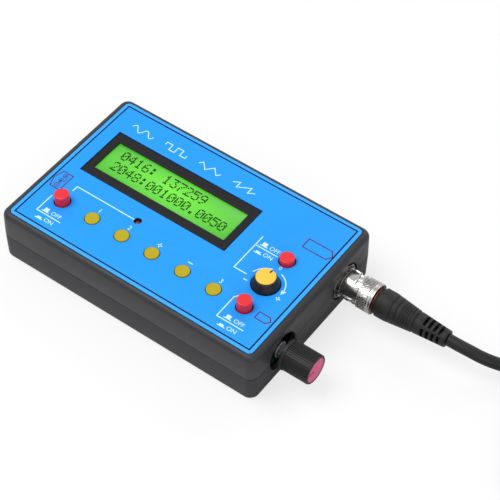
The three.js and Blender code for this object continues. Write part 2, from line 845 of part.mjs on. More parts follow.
function keyCap([x, y]) {
  const top = labelTop + keyProud;
  const flangeTop = plateBottom - keyFlangeDrop;
  const flangeBottom = flangeTop - keyFlangeThickness;
  return turned([
    [0, keySwitchTop - keyStemInBody],
    [keyStemRadius, keySwitchTop - keyStemInBody],
    [keyStemRadius, flangeBottom],
    [keyFlangeRadius, flangeBottom],
    [keyFlangeRadius, flangeTop],
    [keyRadius, flangeTop],
    [keyRadius, top - keyEdge / 2],
    [keyRadius - keyEdge, top],
    [0, top],
  ], upright(x, y, 0));
}

keyPlaces().forEach((spot, i) => {
  addPiece(`key_switch_${i + 1}`, keySwitch(spot), partBlack);
  addPiece(`key_${i + 1}`, keyCap(spot), keyYellow);
});

// Indicator lamp

function indicatorLamp() {
  const [x, y] = lampSpot;
  const top = labelTop - lampBelowLabel;
  const bottom = top - lampHeight;
  const dome = Array.from({ length: lampDomeSteps + 1 }, (_, step) => {
    const angle = (quarterTurn * step) / lampDomeSteps;
    return [lampRadius * Math.cos(angle), top - lampRadius + lampRadius * Math.sin(angle)];
  });
  dome[dome.length - 1][0] = 0;
  const lamp = turned([[0, bottom], [lampRadius, bottom], ...dome], upright(x, y, 0), smallSides);
  const legHeight = bottom + lampRadius - partsBottom;
  const legReach = (lampLegPitch - lampLegWidth) / 2;
  const legs = [-legReach, legReach].map((aside) => (
    block(lampLegWidth, lampLegWidth, legHeight, x + aside, y, partsBottom)
  ));
  return joined([lamp, ...legs]);
}

addPiece('indicator_lamp', indicatorLamp(), capRed);

// Offset control

const offsetPotTop = partsBottom + offsetPotHeight;
const offsetKnobBottom = labelTop - offsetKnobBelow;
const offsetKnobTop = labelTop + offsetKnobProud;

function shaftRod(start, end, frame) {
  const round = rod(shaftRadius, start, end, frame);
  const flatStart = end - shaftInKnob;
  const side = 2 * shaftRadius;
  const away = shaftRadius - shaftFlat + side / 2;
  return round.subtract(block(side, 2 * side, shaftInKnob + cutOverrun, away, 0, flatStart, frame));
}

function offsetPot([x, y]) {
  const body = block(offsetPotWidth, offsetPotWidth, offsetPotHeight, x, y, partsBottom);
  const wellStart = offsetPotTop - shaftInBody - fitGap;
  return body.subtract(rod(shaftRadius + fitGap, wellStart, offsetPotTop + cutOverrun, upright(x, y, 0)));
}

function offsetShaft([x, y]) {
  return shaftRod(offsetPotTop - shaftInBody, offsetKnobBottom + shaftInKnob, upright(x, y, 0));
}

function offsetKnob([x, y]) {
  const profile = [
    [0, offsetKnobBottom],
    [offsetKnobRadius, offsetKnobBottom],
    [offsetKnobRadius, labelTop + offsetKnobShoulder],
    [offsetKnobTopRadius, offsetKnobTop],
    [0, offsetKnobTop],
  ];
  const boreTop = offsetKnobBottom + shaftInKnob + fitGap;
  const frame = upright(x, y, 0);
  const bore = rod(shaftRadius + fitGap, offsetKnobBottom - cutOverrun, boreTop, frame);
  return turned(profile, frame, fineSides).subtract(bore);
}

function offsetKnobCap([x, y]) {
  const bottom = offsetKnobTop + solderGap;
  const top = bottom + offsetCapThickness;
  const profile = [
    [0, bottom],
    [offsetCapRadius, bottom],
    [offsetCapRadius, top - offsetCapBevel],
    [offsetCapRadius - offsetCapBevel, top],
    [0, top],
  ];
  const angle = radians(offsetPointerAngle);
  const frame = framed([x, y, 0], [Math.cos(angle), Math.sin(angle), 0], [0, 0, 1]);
  const reach = offsetCapRadius - pointerLength / 2;
  const notchLength = pointerLength + pointerDepth;
  const notch = block(notchLength, pointerWidth, 2 * pointerDepth, reach, 0, top - pointerDepth, frame);
  return turned(profile, frame, fineSides).subtract(notch);
}

addPiece('offset_pot', offsetPot(offsetSpot), partBlack);
addPiece('offset_shaft', offsetShaft(offsetSpot), zincMetal);
addPiece('offset_knob', offsetKnob(offsetSpot), partBlack);
addPiece('offset_knob_cap', offsetKnobCap(offsetSpot), knobYellow);

// Level control, along X; its lengths run from the case's end face

const levelFrame = towardOutput(endFace, levelY);
const levelKnobEnd = levelKnobGap + levelKnobLength;
const levelPotFace = -levelPotBackGap + fitGap;

function levelPot() {
  const height = 2 * (portHeight - partsBottom);
  const body = block(height, levelPotWidth, levelPotLength, 0, 0, levelPotFace - levelPotLength, levelFrame);
  const neck = rod(levelNeckRadius, levelPotFace - cutOverrun, -caseWall / 2, levelFrame);
  const wellStart = levelPotFace - shaftInBody - fitGap;
  const bore = rod(shaftRadius + solderGap, wellStart, cutOverrun, levelFrame);
  return body.add(neck).subtract(bore);
}

function levelShaft() {
  return shaftRod(levelPotFace - shaftInBody, levelKnobEnd - shaftInKnob, levelFrame);
}

function levelKnob() {
  const skirt = turned([
    [0, levelKnobGap],
    [levelSkirtRadius - levelKnobEdge, levelKnobGap],
    [levelSkirtRadius, levelKnobGap + levelKnobEdge],
    [levelSkirtRadius, levelKnobGap + levelSkirtLength],
    [0, levelKnobGap + levelSkirtLength],
  ], levelFrame, fineSides);
  const gripStart = levelKnobGap + levelSkirtLength / 2;
  const grip = extruded(
    toothedOutline(levelKnobBaseRadius, levelFluteDepth, levelFluteCount),
    gripStart,
    levelKnobEnd - levelKnobEdge,
    levelFrame,
  );
  const tip = turned([
    [0, gripStart],
    [levelKnobTipRadius, gripStart],
    [levelKnobTipRadius, levelKnobEnd - levelKnobEdge],
    [levelKnobTipRadius - levelKnobEdge / 2, levelKnobEnd],
    [0, levelKnobEnd],
  ], levelFrame, fineSides);
  const recessStart = levelKnobEnd - levelCapThickness - levelCapBelow - solderGap;
  return cut(joined([skirt, grip, tip]), [
    rod(levelCapRadius + solderGap, recessStart, levelKnobEnd + cutOverrun, levelFrame, fineSides),
    rod(shaftRadius + fitGap, levelKnobGap - cutOverrun, levelKnobEnd - shaftInKnob + fitGap, levelFrame),
  ]);
}

function levelKnobCap() {
  const top = levelKnobEnd - levelCapBelow;
  const disc = rod(levelCapRadius, top - levelCapThickness, top, levelFrame, fineSides);
  const angle = radians(levelPointerAngle);
  const frame = framed([endFace, levelY, portHeight], [0, -Math.sin(angle), Math.cos(angle)], [1, 0, 0]);
  const reach = levelCapRadius - levelPointerLength / 2;
  const start = top - pointerDepth;
  return disc.subtract(block(levelPointerLength, pointerWidth, 2 * pointerDepth, reach, 0, start, frame));
}

addPiece('level_pot', levelPot(), zincMetal);
addPiece('level_shaft', levelShaft(), zincMetal);
addPiece('level_knob', levelKnob(), partBlack);
addPiece('level_knob_cap', levelKnobCap(), knobPink);

// Power inlet

function powerInlet() {
  const frame = towardInlet(-innerEnd, inletY);
  const face = -fitGap;
  const middle = partsBottom - portHeight + inletHeight / 2;
  const body = block(inletHeight, inletWidth, inletLength, middle, 0, face - inletLength, frame);
  const bore = rod(inletBoreRadius, face - inletBoreDepth, face + cutOverrun, frame);
  const pin = rod(inletPinRadius, face - inletBoreDepth - cutOverrun, face - cutOverrun, frame, smallSides);
  return body.subtract(bore).add(pin);
}

addPiece('power_inlet', powerInlet(), partBlack);

// Output jack; the plug's frame starts at the coupling nut's rim and runs towards the lead

const plugFrame = towardOutput(nutRim, outputY);

function outputJack() {
  const face = jackFace - nutRim;
  const tip = barrelEnd - nutRim;
  const bodyFace = innerEnd - fitGap - nutRim;
  const body = block(
    jackBodyHeight,
    jackBodyWidth,
    jackBodyLength,
    0,
    0,
    bodyFace - jackBodyLength,
    plugFrame,
  );
  const neck = rod(jackNeckRadius, bodyFace - cutOverrun, face, plugFrame, fineSides);
  const barrel = rod(barrelRadius, face - cutOverrun, tip, plugFrame, fineSides);
  const lugs = [0, halfTurn].map((turn) => rod(lugRadius, barrelBoreRadius + fitGap, lugReach, radialFrame(
    plugFrame,
    radians(lugAngle) + turn,
    lugDistance,
  ), smallSides));
  const bore = rod(barrelBoreRadius, face, tip + cutOverrun, plugFrame, fineSides);
  const postEnd = tip - jackPostSetback;
  const post = rod(jackPostRadius, face - cutOverrun, postEnd, plugFrame);
  const socketStart = postEnd - jackPostBoreDepth;
  const socket = rod(jackPostBoreRadius, socketStart, postEnd + cutOverrun, plugFrame, smallSides);
  return joined([body, neck, barrel, ...lugs]).subtract(bore).add(post).subtract(socket);
}

// A frame whose Z points out from the plug's axis at an angle and a distance along it
function radialFrame(frame, angle, distance) {
  const outward = framed([0, 0, distance], [0, 0, 1], [Math.cos(angle), Math.sin(angle), 0]);
  return frame.clone().multiply(outward);
}

function jackWasher() {
  const start = innerEnd - fitGap - nutRim + solderGap;
  return flatRing(jackNeckRadius + fitGap, washerRadius, start, washerThickness, plugFrame, fineSides);
}

function panelNut() {
  const start = innerEnd - fitGap - nutRim + 2 * solderGap + washerThickness;
  const end = start + panelNutThickness;
  const cornerRadius = panelNutFlats / 2 / Math.cos(halfTurn / panelNutSides);
  const hexagon = Array.from({ length: panelNutSides }, (_, i) => {
    const angle = (fullTurn * i) / panelNutSides;
    return [cornerRadius * Math.cos(angle), cornerRadius * Math.sin(angle)];
  });
  const bore = rod(jackNeckRadius + fitGap, start - cutOverrun, end + cutOverrun, plugFrame, fineSides);
  return extruded(hexagon, start, end, plugFrame).subtract(bore);
}

addPiece('output_jack', outputJack(), brightMetal);
addPiece('jack_washer', jackWasher(), zincMetal);
addPiece('jack_nut', panelNut(), brightMetal);

// Bayonet plug

// The two slots run from the detent round a quarter turn towards the rim, then straight out of it
function slotTools(frame) {
  const width = lugRadius + fitGap;
  const inner = barrelRadius / 2;
  const outer = earRadius + cutOverrun;
  const mouthEnd = lugDistance - nutTravel;
  const mouthLength = mouthEnd + cutOverrun;
  const mouthMiddle = (mouthEnd - cutOverrun) / 2;
  const tools = [];
  for (const side of [0, halfTurn]) {
    const start = radians(lugAngle) + side;
    for (let step = 0; step <= slotSteps; step += 1) {
      const share = step / slotSteps;
      const angle = start - radians(slotTurn) * share;
      const spot = radialFrame(frame, angle, lugDistance - nutTravel * share);
      tools.push(rod(width, inner, outer, spot, smallSides));
    }
    const mouthFrame = radialFrame(frame, start - radians(slotTurn), 0);
    tools.push(block(mouthLength, 2 * width, outer - inner, mouthMiddle, 0, inner, mouthFrame));
  }
  return tools;
}

// A raised band over each slot, from the detent to just past the mouth
function earOutline(side) {
  const start = radians(lugAngle) + side;
  const sweep = -radians(slotTurn + earLead);
  const arc = (radius, from, to) => Array.from({ length: earSteps + 1 }, (_, i) => {
    const angle = from + ((to - from) * i) / earSteps;
    return [radius * Math.cos(angle), radius * Math.sin(angle)];
  });
  const inner = (nutBoreRadius + nutSkirtRadius) / 2;
  return [...arc(earRadius, start, start + sweep), ...arc(inner, start + sweep, start)];
}

function couplingNut(frame) {
  const knurlEnd = nutKnurlStart + nutKnurlLength;
  const seat = nutKnurlRadius - nutGrooveDepth;
  const shell = turned([
    [0, 0],
    [nutSkirtRadius, 0],
    [nutSkirtRadius, nutSkirtLength],
    [seat, nutSkirtLength],
    [seat, knurlEnd + nutGrooveWidth],
    [nutBandRadius, knurlEnd + nutGrooveWidth],
    [nutBandRadius, nutLength],
    [0, nutLength],
  ], frame, fineSides);
  const knurl = extruded(
    toothedOutline(nutKnurlRadius, nutKnurlDepth, nutKnurlTeeth),
    nutKnurlStart,
    knurlEnd,
    frame,
  );
  const earEnd = nutKnurlStart + earOverlap;
  const ears = [0, halfTurn].flatMap((side) => {
    const detentFrame = radialFrame(frame, radians(lugAngle) + side, lugDistance);
    return [
      extruded(earOutline(side), earStart, earEnd, frame),
      rod(detentBossRadius, nutBoreRadius, earRadius, detentFrame),
    ];
  });
  return cut(joined([shell, knurl, ...ears]), [
    rod(nutBoreRadius, -cutOverrun, nutLength + cutOverrun, frame, fineSides),
    rod(nutRearBoreRadius, nutLength - nutRearBoreDepth, nutLength + cutOverrun, frame, fineSides),
    ...slotTools(frame),
  ]);
}

function plugBody(frame) {
  const neckEnd = nutLength - gasketGap;
  return turned([
    [0, plugPinSetback],
    [plugPinRadius, plugPinSetback],
    [plugPinRadius, flangeStart],
    [plugSleeveBore, flangeStart],
    [plugSleeveBore, plugSleeveFront],
    [plugSleeveRadius, plugSleeveFront],
    [plugSleeveRadius, flangeStart],
    [plugFlangeRadius, flangeStart],
    [plugFlangeRadius, flangeStart + plugFlangeLength],
    [plugNeckRadius, flangeStart + plugFlangeLength],
    [plugNeckRadius, neckEnd],
    [plugRearRadius, neckEnd],
    [plugRearRadius, plugRearEnd],
    [0, plugRearEnd],
  ], frame);
}

// The ring that carries the coupling nut along the plug body
function thrustRing() {
  const start = flangeStart + plugFlangeLength + fitGap;
  return flatRing(plugNeckRadius + fitGap, thrustRingRadius, start, thrustRingThickness, plugFrame);
}

function plugGasket(frame) {
  return flatRing(plugRearRadius + fitGap, gasketRadius, gasketStart, gasketThickness, frame, fineSides);
}

// The boot narrows to a stepped, slotted strain relief
function plugBoot(frame) {
  const shareAt = (distance) => (distance - bootStraightEnd) / (bootStep - bootStraightEnd);
  const radiusAt = (distance) => bootRadius + (bootStepRadius - bootRadius) * shareAt(distance);
  const ribs = Array.from({ length: bootRibs }, (_, i) => {
    const start = bootRibStart + i * bootRibPitch;
    const middle = start + bootRibPitch / 4;
    const end = start + bootRibPitch / 2;
    return [[radiusAt(start), start], [radiusAt(middle) - bootRibDepth, middle], [radiusAt(end), end]];
  }).flat();
  const bore = plugRearRadius + fitGap;
  const boreEnd = plugRearEnd + fitGap;
  const body = turned([
    [bore, bootNeckStart],
    [bootNeckRadius, bootNeckStart],
    [bootNeckRadius, bootShoulder],
    [bootRadius, bootShoulder],
    [bootRadius, bootStraightEnd],
    ...ribs,
    [bootStepRadius, bootStep],
    [bootReliefRadius, bootStep],
    [bootEndRadius, bootEnd],
    [0, bootEnd],
    [0, boreEnd],
    [bore, boreEnd],
    [bore, bootNeckStart],
  ], frame);
  const cuts = [];
  for (let i = 0; i < reliefSlots; i += 1) {
    const distance = reliefSlotStart + i * reliefSlotPitch;
    for (const side of [-1, 1]) {
      const away = side * (bootReliefRadius - reliefSlotDepth + bootReliefRadius / 2);
      const [width, depth] = i % 2 ? [bootReliefRadius, 2 * bootRadius] : [2 * bootRadius, bootReliefRadius];
      const [x, y] = i % 2 ? [away, 0] : [0, away];
      cuts.push(block(width, depth, reliefSlotWidth, x, y, distance, frame));
    }
  }
  return cut(body, cuts);
}

function addPlug(prefix, frame) {
  addPiece(`${prefix}coupling_nut`, couplingNut(frame), brightMetal);
  addPiece(`${prefix}plug_body`, plugBody(frame), brightMetal);
  addPiece(`${prefix}plug_gasket`, plugGasket(frame), copperMetal);
  addPiece(`${prefix}plug_boot`, plugBoot(frame), rubberBlack);
}

addPlug('', plugFrame);
addPiece('thrust_ring', thrustRing(), zincMetal);

// Lead: a free run from the boot to the coil, a neat coil in two layers, and the far plug beside it

const coilHeight = tieThickness + fitGap + cableRadius;

function coilPoint(turns) {
  const middle = coilTurns / 2;
  const angle = radians(coilEntryAngle) - fullTurn * turns;
  const radius = coilMidRadius + coilPitch * (Math.abs(turns - middle) - coilTurns / 4);
  const climbStart = middle - coilClimbTurns / 2;
  const rise = coilLayerRise * THREE.MathUtils.smoothstep(turns, climbStart, climbStart + coilClimbTurns);
  const [x, y] = coilCentre;
  return new THREE.Vector3(x + radius * Math.cos(angle), y + radius * Math.sin(angle), coilHeight + rise);
}

function coilHeading(turns, step) {
  return coilPoint(turns + step).sub(coilPoint(turns)).normalize();
}

// The coil's centre line, with a straight piece at each end, square to what it meets
function coilPath() {
  const steps = Math.round(coilTurns * coilStepsPerTurn);
  const turnsPerStep = coilTurns / steps;
  const turns = Array.from({ length: steps + 1 }, (_, i) => coilPoint(i * turnsPerStep));
  const entry = coilHeading(0, turnsPerStep).setZ(0).normalize();
  const exit = coilHeading(coilTurns - turnsPerStep, turnsPerStep);
  const farEnd = turns[steps].clone();
  const reach = coilTail + bootEnd;
  exit.setZ(-(farEnd.z - nutBandRadius - solderGap) / reach).normalize();
  const first = turns[0].clone().addScaledVector(entry, -coilStart);
  return { points: [first, ...turns, farEnd.addScaledVector(exit, coilTail)], entry, exit };
}

// A tube with flat ends round a path that never runs steeply
function tubeAlong(points, radius, sides) {
  const upward = new THREE.Vector3(0, 0, 1);
  const rings = points.map((point, i) => {
    const before = points[Math.max(i - 1, 0)];
    const after = points[Math.min(i + 1, points.length - 1)];
    const heading = after.clone().sub(before).normalize();
    const aside = new THREE.Vector3().crossVectors(heading, upward).normalize();
    const above = new THREE.Vector3().crossVectors(aside, heading);
    return Array.from({ length: sides }, (_, k) => {
      const angle = (fullTurn * (k + 1 / 2)) / sides;
      const spot = point.clone().addScaledVector(aside, radius * Math.cos(angle));
      return spot.addScaledVector(above, radius * Math.sin(angle)).toArray();
    });
  });
  return lofted(rings);
}

// The least gap between turns of the coil, from its points more than half a turn apart
function leastGap(points, radius) {
  let least = Infinity;
  const apart = Math.ceil(coilStepsPerTurn / 2);
  for (let i = 0; i < points.length; i += 1) {
    for (let k = i + apart; k + 1 < points.length; k += 1) {
      const piece = new THREE.Line3(points[k], points[k + 1]);
      const near = piece.closestPointToPoint(points[i], true, new THREE.Vector3());
      least = Math.min(least, near.distanceTo(points[i]) - 2 * radius);
    }
  }
  return least;
}

function cableRun(path) {
  const last = path.points[0].clone().addScaledVector(path.entry, -fitGap);
  const beforeLast = last.clone().addScaledVector(path.entry, -runStraight);
  const points = [...leadPoints.map((point) => new THREE.Vector3(...point)), beforeLast, last];
  const curve = new THREE.CatmullRomCurve3(points, false, 'centripetal');
  return tubeAlong(curve.getSpacedPoints(cableSteps), cableRadius, cableSides);
}

// A flat band wrapped round the whole bundle of turns
function coilTie() {
  const innerTurn = coilMidRadius - (coilPitch * coilTurns) / 4 - cableRadius - fitGap;
  const inner = Math.sqrt(innerTurn ** 2 - (tieWidth / 2) ** 2);
  const outer = coilMidRadius + (coilPitch * coilTurns) / 4 + cableRadius + fitGap;
  const height = 2 * cableRadius + coilLayerRise + 2 * fitGap;
  const angle = radians(tieAngle);
  const along = [-Math.sin(angle), Math.cos(angle), 0];
  const [x, y] = coilCentre;
  const middle = (inner + outer) / 2;
  const centre = [x + middle * Math.cos(angle), y + middle * Math.sin(angle), tieThickness + height / 2];
  const frame = framed(centre, [Math.cos(angle), Math.sin(angle), 0], along);
  const bandSize = [outer - inner + 2 * tieThickness, height + 2 * tieThickness];
  const band = extruded(roundedOutline(...bandSize, tieCornerRadius), -tieWidth / 2, tieWidth / 2, frame);
  const holeOutline = roundedOutline(outer - inner, height, tieCornerRadius - tieThickness);
  return band.subtract(extruded(holeOutline, -tieWidth / 2 - cutOverrun, tieWidth / 2 + cutOverrun, frame));
}

const path = coilPath();
console.log(`least gap between the coil's turns: ${leastGap(path.points, cableRadius).toFixed(2)} mm`);
addPiece('cable_run', cableRun(path), rubberBlack);
addPiece('cable_coil', tubeAlong(path.points, cableRadius, coilSides), rubberBlack);
addPiece('coil_tie', coilTie(), partBlack);

const farRim = path.points[path.points.length - 1].clone().addScaledVector(path.exit, fitGap + bootEnd);
addPlug('far_', framed(farRim.toArray(), [0, 0, 1], path.exit.clone().negate().toArray()));

export default model;
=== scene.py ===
# Desktop function generator: a black two-part case with a blue printed label, a lit character
# display, push buttons and keys, two knobs, and a coaxial lead plugged into the output jack.
# Sizes are in millimetres, in the frame of the part; each finished piece is scaled to metres.
import json
import math

import bmesh
import bpy
from mathutils import Matrix, Vector


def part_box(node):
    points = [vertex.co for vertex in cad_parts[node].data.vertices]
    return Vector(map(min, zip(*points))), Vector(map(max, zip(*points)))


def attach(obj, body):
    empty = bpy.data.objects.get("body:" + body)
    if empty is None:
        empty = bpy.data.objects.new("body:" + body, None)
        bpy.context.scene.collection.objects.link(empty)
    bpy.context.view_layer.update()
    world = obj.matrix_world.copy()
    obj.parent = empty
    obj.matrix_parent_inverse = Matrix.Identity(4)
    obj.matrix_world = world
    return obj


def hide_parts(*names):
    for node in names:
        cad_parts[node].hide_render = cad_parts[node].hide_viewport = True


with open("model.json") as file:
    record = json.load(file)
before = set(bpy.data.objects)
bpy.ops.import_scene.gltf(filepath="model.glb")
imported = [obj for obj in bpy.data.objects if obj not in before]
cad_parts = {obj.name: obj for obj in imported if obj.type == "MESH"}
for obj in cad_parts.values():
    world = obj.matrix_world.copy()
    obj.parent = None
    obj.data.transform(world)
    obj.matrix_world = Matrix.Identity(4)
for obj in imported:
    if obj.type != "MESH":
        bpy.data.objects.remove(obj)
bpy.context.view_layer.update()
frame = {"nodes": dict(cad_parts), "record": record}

METRE = 0.001
FULL_TURN = 2 * math.pi
UP = Vector((0, 0, 1))


def extent(node):
    """The lowest and highest corners of a node, in millimetres."""
    low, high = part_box(node)
    return low / METRE, high / METRE


def centre(node):
    low, high = extent(node)
    return (low + high) / 2


# Camera: the photograph's viewpoint, solved from the corners of the label
VIEW_AZIMUTH = math.radians(35.489)
VIEW_ELEVATION = math.radians(50.116)
VIEW_ROLL = math.radians(0.900)
VIEW_DISTANCE = 675.81
VIEW_OFFSET = (-25.084, 11.347)
FOCAL_PIXELS = 1733.6
FRAME_PIXELS = 500
SENSOR = 36
CLIP_RANGE = (0.01, 20)

LABEL_TOP = extent("front_label")[1].z


def make_camera():
    reach, rise = math.cos(VIEW_ELEVATION), math.sin(VIEW_ELEVATION)
    back = Vector((math.sin(VIEW_AZIMUTH) * reach, -math.cos(VIEW_AZIMUTH) * reach, rise))
    level = UP.cross(back).normalized()
    upward = back.cross(level)
    right = math.cos(VIEW_ROLL) * level + math.sin(VIEW_ROLL) * upward
    above = math.cos(VIEW_ROLL) * upward - math.sin(VIEW_ROLL) * level
    place = -VIEW_OFFSET[0] * right - VIEW_OFFSET[1] * above + VIEW_DISTANCE * back + LABEL_TOP * UP
    lens = bpy.data.cameras.new("view")
    lens.sensor_width = SENSOR
    lens.lens = FOCAL_PIXELS * SENSOR / FRAME_PIXELS
    lens.clip_start, lens.clip_end = CLIP_RANGE
    camera = bpy.data.objects.new("view", lens)
    turn = Matrix((right, above, back)).transposed().to_4x4()
    camera.matrix_world = Matrix.Translation(place * METRE) @ turn
    bpy.context.collection.objects.link(camera)
    bpy.context.scene.camera = camera


make_camera()

# Lead: a free run from the plug to a neat coil, and the far plug beside it
LEAD_RADIUS = 2.5
LEAD_POINTS = [
    (109.1, 20.8, 12.4), (114.1, 20.9, 12.3), (118.3, 21.4, 11.8), (122.3, 22.2, 10.8),
    (126, 23.6, 9.5), (129.5, 25.5, 8), (134.4, 28.3, 6), (139.4, 31.4, 4.6), (143.7, 34, 3.8),
]
LEAD_STEPS = 8
LEAD_ROUNDNESS = 5
RUN_STRAIGHT = 10
JOIN_GAP = 0.3
COIL_CENTRE = (181, 16)
COIL_ENTRY = math.radians(125)
COIL_TURNS = 5.35
COIL_MID_RADIUS = 27.5
COIL_PITCH = 5.6
COIL_RISE = 5.6
COIL_CLIMB = 0.5
COIL_START = 5
COIL_TAIL = 12
COIL_STEPS = 24
COIL_SMOOTHING = 3
TIE_THICKNESS = 0.6
TIE_WIDTH = 9
TIE_CORNER = 1.6
TIE_ANGLE = math.radians(60)
BOOT_LENGTH = 46.1
NUT_RADIUS = 6.6
PLUG_CLEARANCE = 0.1


def coil_point(turns):
    middle = COIL_TURNS / 2
    angle = COIL_ENTRY - FULL_TURN * turns
    radius = COIL_MID_RADIUS + COIL_PITCH * (abs(turns - middle) - COIL_TURNS / 4)
    share = min(max((turns - middle) / COIL_CLIMB + 0.5, 0), 1)
    rise = COIL_RISE * share * share * (3 - 2 * share)
    height = TIE_THICKNESS + JOIN_GAP + LEAD_RADIUS + rise
    x, y = COIL_CENTRE
    return Vector((x + radius * math.cos(angle), y + radius * math.sin(angle), height))


def coil_route():
    """The coil's centre line with straight ends, and its directions in and out."""
    steps = round(COIL_TURNS * COIL_STEPS)
    step = COIL_TURNS / steps
    fine = steps * COIL_SMOOTHING
    turns = [coil_point(i * COIL_TURNS / fine) for i in range(fine + 1)]
    entry = coil_point(step) - coil_point(0)
    entry.z = 0
    entry.normalize()
    leave = (coil_point(COIL_TURNS) - coil_point(COIL_TURNS - step)).normalized()
    drop = turns[-1].z - NUT_RADIUS - PLUG_CLEARANCE
    leave.z = -drop / (COIL_TAIL + BOOT_LENGTH)
    leave.normalize()
    return [turns[0] - COIL_START * entry, *turns, turns[-1] + COIL_TAIL * leave], entry, leave


def smooth_route(points, steps):
    """A centripetal Catmull-Rom curve through the points."""
    ends = [2 * points[0] - points[1], *points, 2 * points[-1] - points[-2]]
    route = []
    for i in range(len(points) - 1):
        knots = [0.0]
        for before, after in zip(ends[i:i + 3], ends[i + 1:i + 4]):
            knots.append(knots[-1] + math.sqrt((after - before).length))

        def between(before, after, start, end, t):
            return before.lerp(after, (t - knots[start]) / (knots[end] - knots[start]))

        for k in range(steps):
            t = knots[1] + (knots[2] - knots[1]) * k / steps
            sides = [between(ends[i + j], ends[i + j + 1], j, j + 1, t) for j in range(3)]
            pairs = [between(sides[j], sides[j + 1], j, j + 2, t) for j in range(2)]
            route.append(between(*pairs, 1, 2, t))
    return [*route, points[-1]]


coil_points, coil_entry, coil_exit = coil_route()
run_end = coil_points[0] - JOIN_GAP * coil_entry
run_points = [Vector(p) for p in LEAD_POINTS] + [run_end - RUN_STRAIGHT * coil_entry, run_end]
lead_route = [point * METRE for point in smooth_route(run_points, LEAD_STEPS) + coil_points]
lead_length = sum((b - a).length for a, b in zip(lead_route, lead_route[1:]))


def make_lead():
    """The lead's curve, whose bevel of one metre is scaled down by each point's radius."""
    curve = bpy.data.curves.new("lead", "CURVE")
    curve.dimensions = "3D"
    curve.bevel_depth = 1
    curve.bevel_resolution = LEAD_ROUNDNESS
    curve.use_fill_caps = True
    spline = curve.splines.new("POLY")
    spline.points.add(len(lead_route) - 1)
    for spot, point in zip(spline.points, lead_route):
        spot.co = (*point, 1)
        spot.radius = LEAD_RADIUS * METRE
    spline.use_smooth = True
    piece = bpy.data.objects.new("lead", curve)
    bpy.context.collection.objects.link(piece)
    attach(piece, "root")
    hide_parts("cable_run", "cable_coil")
    return piece


lead = make_lead()

# Modelling tools
UPRIGHT = 0.9
WELD = 0.0005
NEAR = 0.01
FLANK = 0.12
STRAIGHT_SHARE = 2.2


def only(*pieces):
    bpy.ops.object.select_all(action="DESELECT")
    for piece in pieces:
        piece.select_set(True)
    bpy.context.view_layer.objects.active = pieces[0]


def editing(piece, kind):
    only(piece)
    bpy.ops.object.mode_set(mode="EDIT")
    bpy.ops.mesh.select_mode(type=kind)
    bpy.ops.mesh.select_all(action="DESELECT")


def pick(piece, kind, test):
    """Selects the edges or faces that pass a test."""
    mesh = bmesh.from_edit_mesh(piece.data)
    for part in getattr(mesh, kind):
        part.select_set(bool(test(part)))
    mesh.select_flush_mode()
    bmesh.update_edit_mesh(piece.data)


def leave_editing():
    bpy.ops.object.mode_set(mode="OBJECT")


def face_outward():
    bpy.ops.mesh.select_all(action="SELECT")
    bpy.ops.mesh.normals_make_consistent(inside=False)
    leave_editing()


def apply_modifier(piece, kind, **settings):
    modifier = piece.modifiers.new(kind.lower(), kind)
    for name, value in settings.items():
        setattr(modifier, name, value)
    only(piece)
    bpy.ops.object.modifier_apply(modifier=modifier.name)
    return piece


def bevelled(piece, width, segments=3, angle=30):
    settings = {"width": width, "segments": segments, "angle_limit": math.radians(angle)}
    return apply_modifier(piece, "BEVEL", limit_method="ANGLE", harden_normals=False, **settings)


def joined(name, pieces):
    only(*pieces)
    bpy.ops.object.join()
    return added(name)


def carve(piece, *tools, operation="DIFFERENCE"):
    """Cuts with tools that don't touch each other, all at once."""
    tool = joined("tool", tools) if len(tools) > 1 else tools[0]
    apply_modifier(piece, "BOOLEAN", object=tool, operation=operation, solver="EXACT")
    bpy.data.objects.remove(tool)
    return piece


def fuse(piece, *others):
    for other in others:
        carve(piece, other, operation="UNION")
    return piece


def added(name):
    piece = bpy.context.active_object
    piece.name = name
    return piece


def block(name, low, high, place=Matrix()):
    bpy.ops.mesh.primitive_cube_add(size=1)
    piece = added(name)
    low, high = Vector(low), Vector(high)
    stretch = Matrix.Diagonal((*(high - low), 1))
    piece.data.transform(place @ Matrix.Translation((low + high) / 2) @ stretch)
    return piece


def rod(name, radius, start, end, place=Matrix(), sides=64):
    bpy.ops.mesh.primitive_cylinder_add(vertices=sides, radius=radius, depth=end - start)
    piece = added(name)
    piece.data.transform(place @ Matrix.Translation((0, 0, (start + end) / 2)))
    return piece


def drawn(name, points, edges, faces=()):
    mesh = bpy.data.meshes.new(name)
    mesh.from_pydata(points, edges, faces)
    piece = bpy.data.objects.new(name, mesh)
    bpy.context.collection.objects.link(piece)
    return piece


def eased(points, radius, steps=3, closed=False):
    """An outline with each corner rounded, as far as its sides allow."""
    points = [Vector(point) for point in points]
    count = len(points)
    outline = []
    for i, corner in enumerate(points):
        if not closed and i in (0, count - 1):
            outline.append(corner)
            continue
        before, after = points[i - 1] - corner, points[(i + 1) % count] - corner
        reach = min(radius, before.length / STRAIGHT_SHARE, after.length / STRAIGHT_SHARE)
        start, end = corner + before.normalized() * reach, corner + after.normalized() * reach
        for k in range(steps + 1):
            t = k / steps
            outline.append(start.lerp(corner, t).lerp(corner.lerp(end, t), t))
    return outline


def drum(radius, bottom, top):
    """The profile of a plain drum."""
    return [(0, bottom), (radius, bottom), (radius, top), (0, top)]


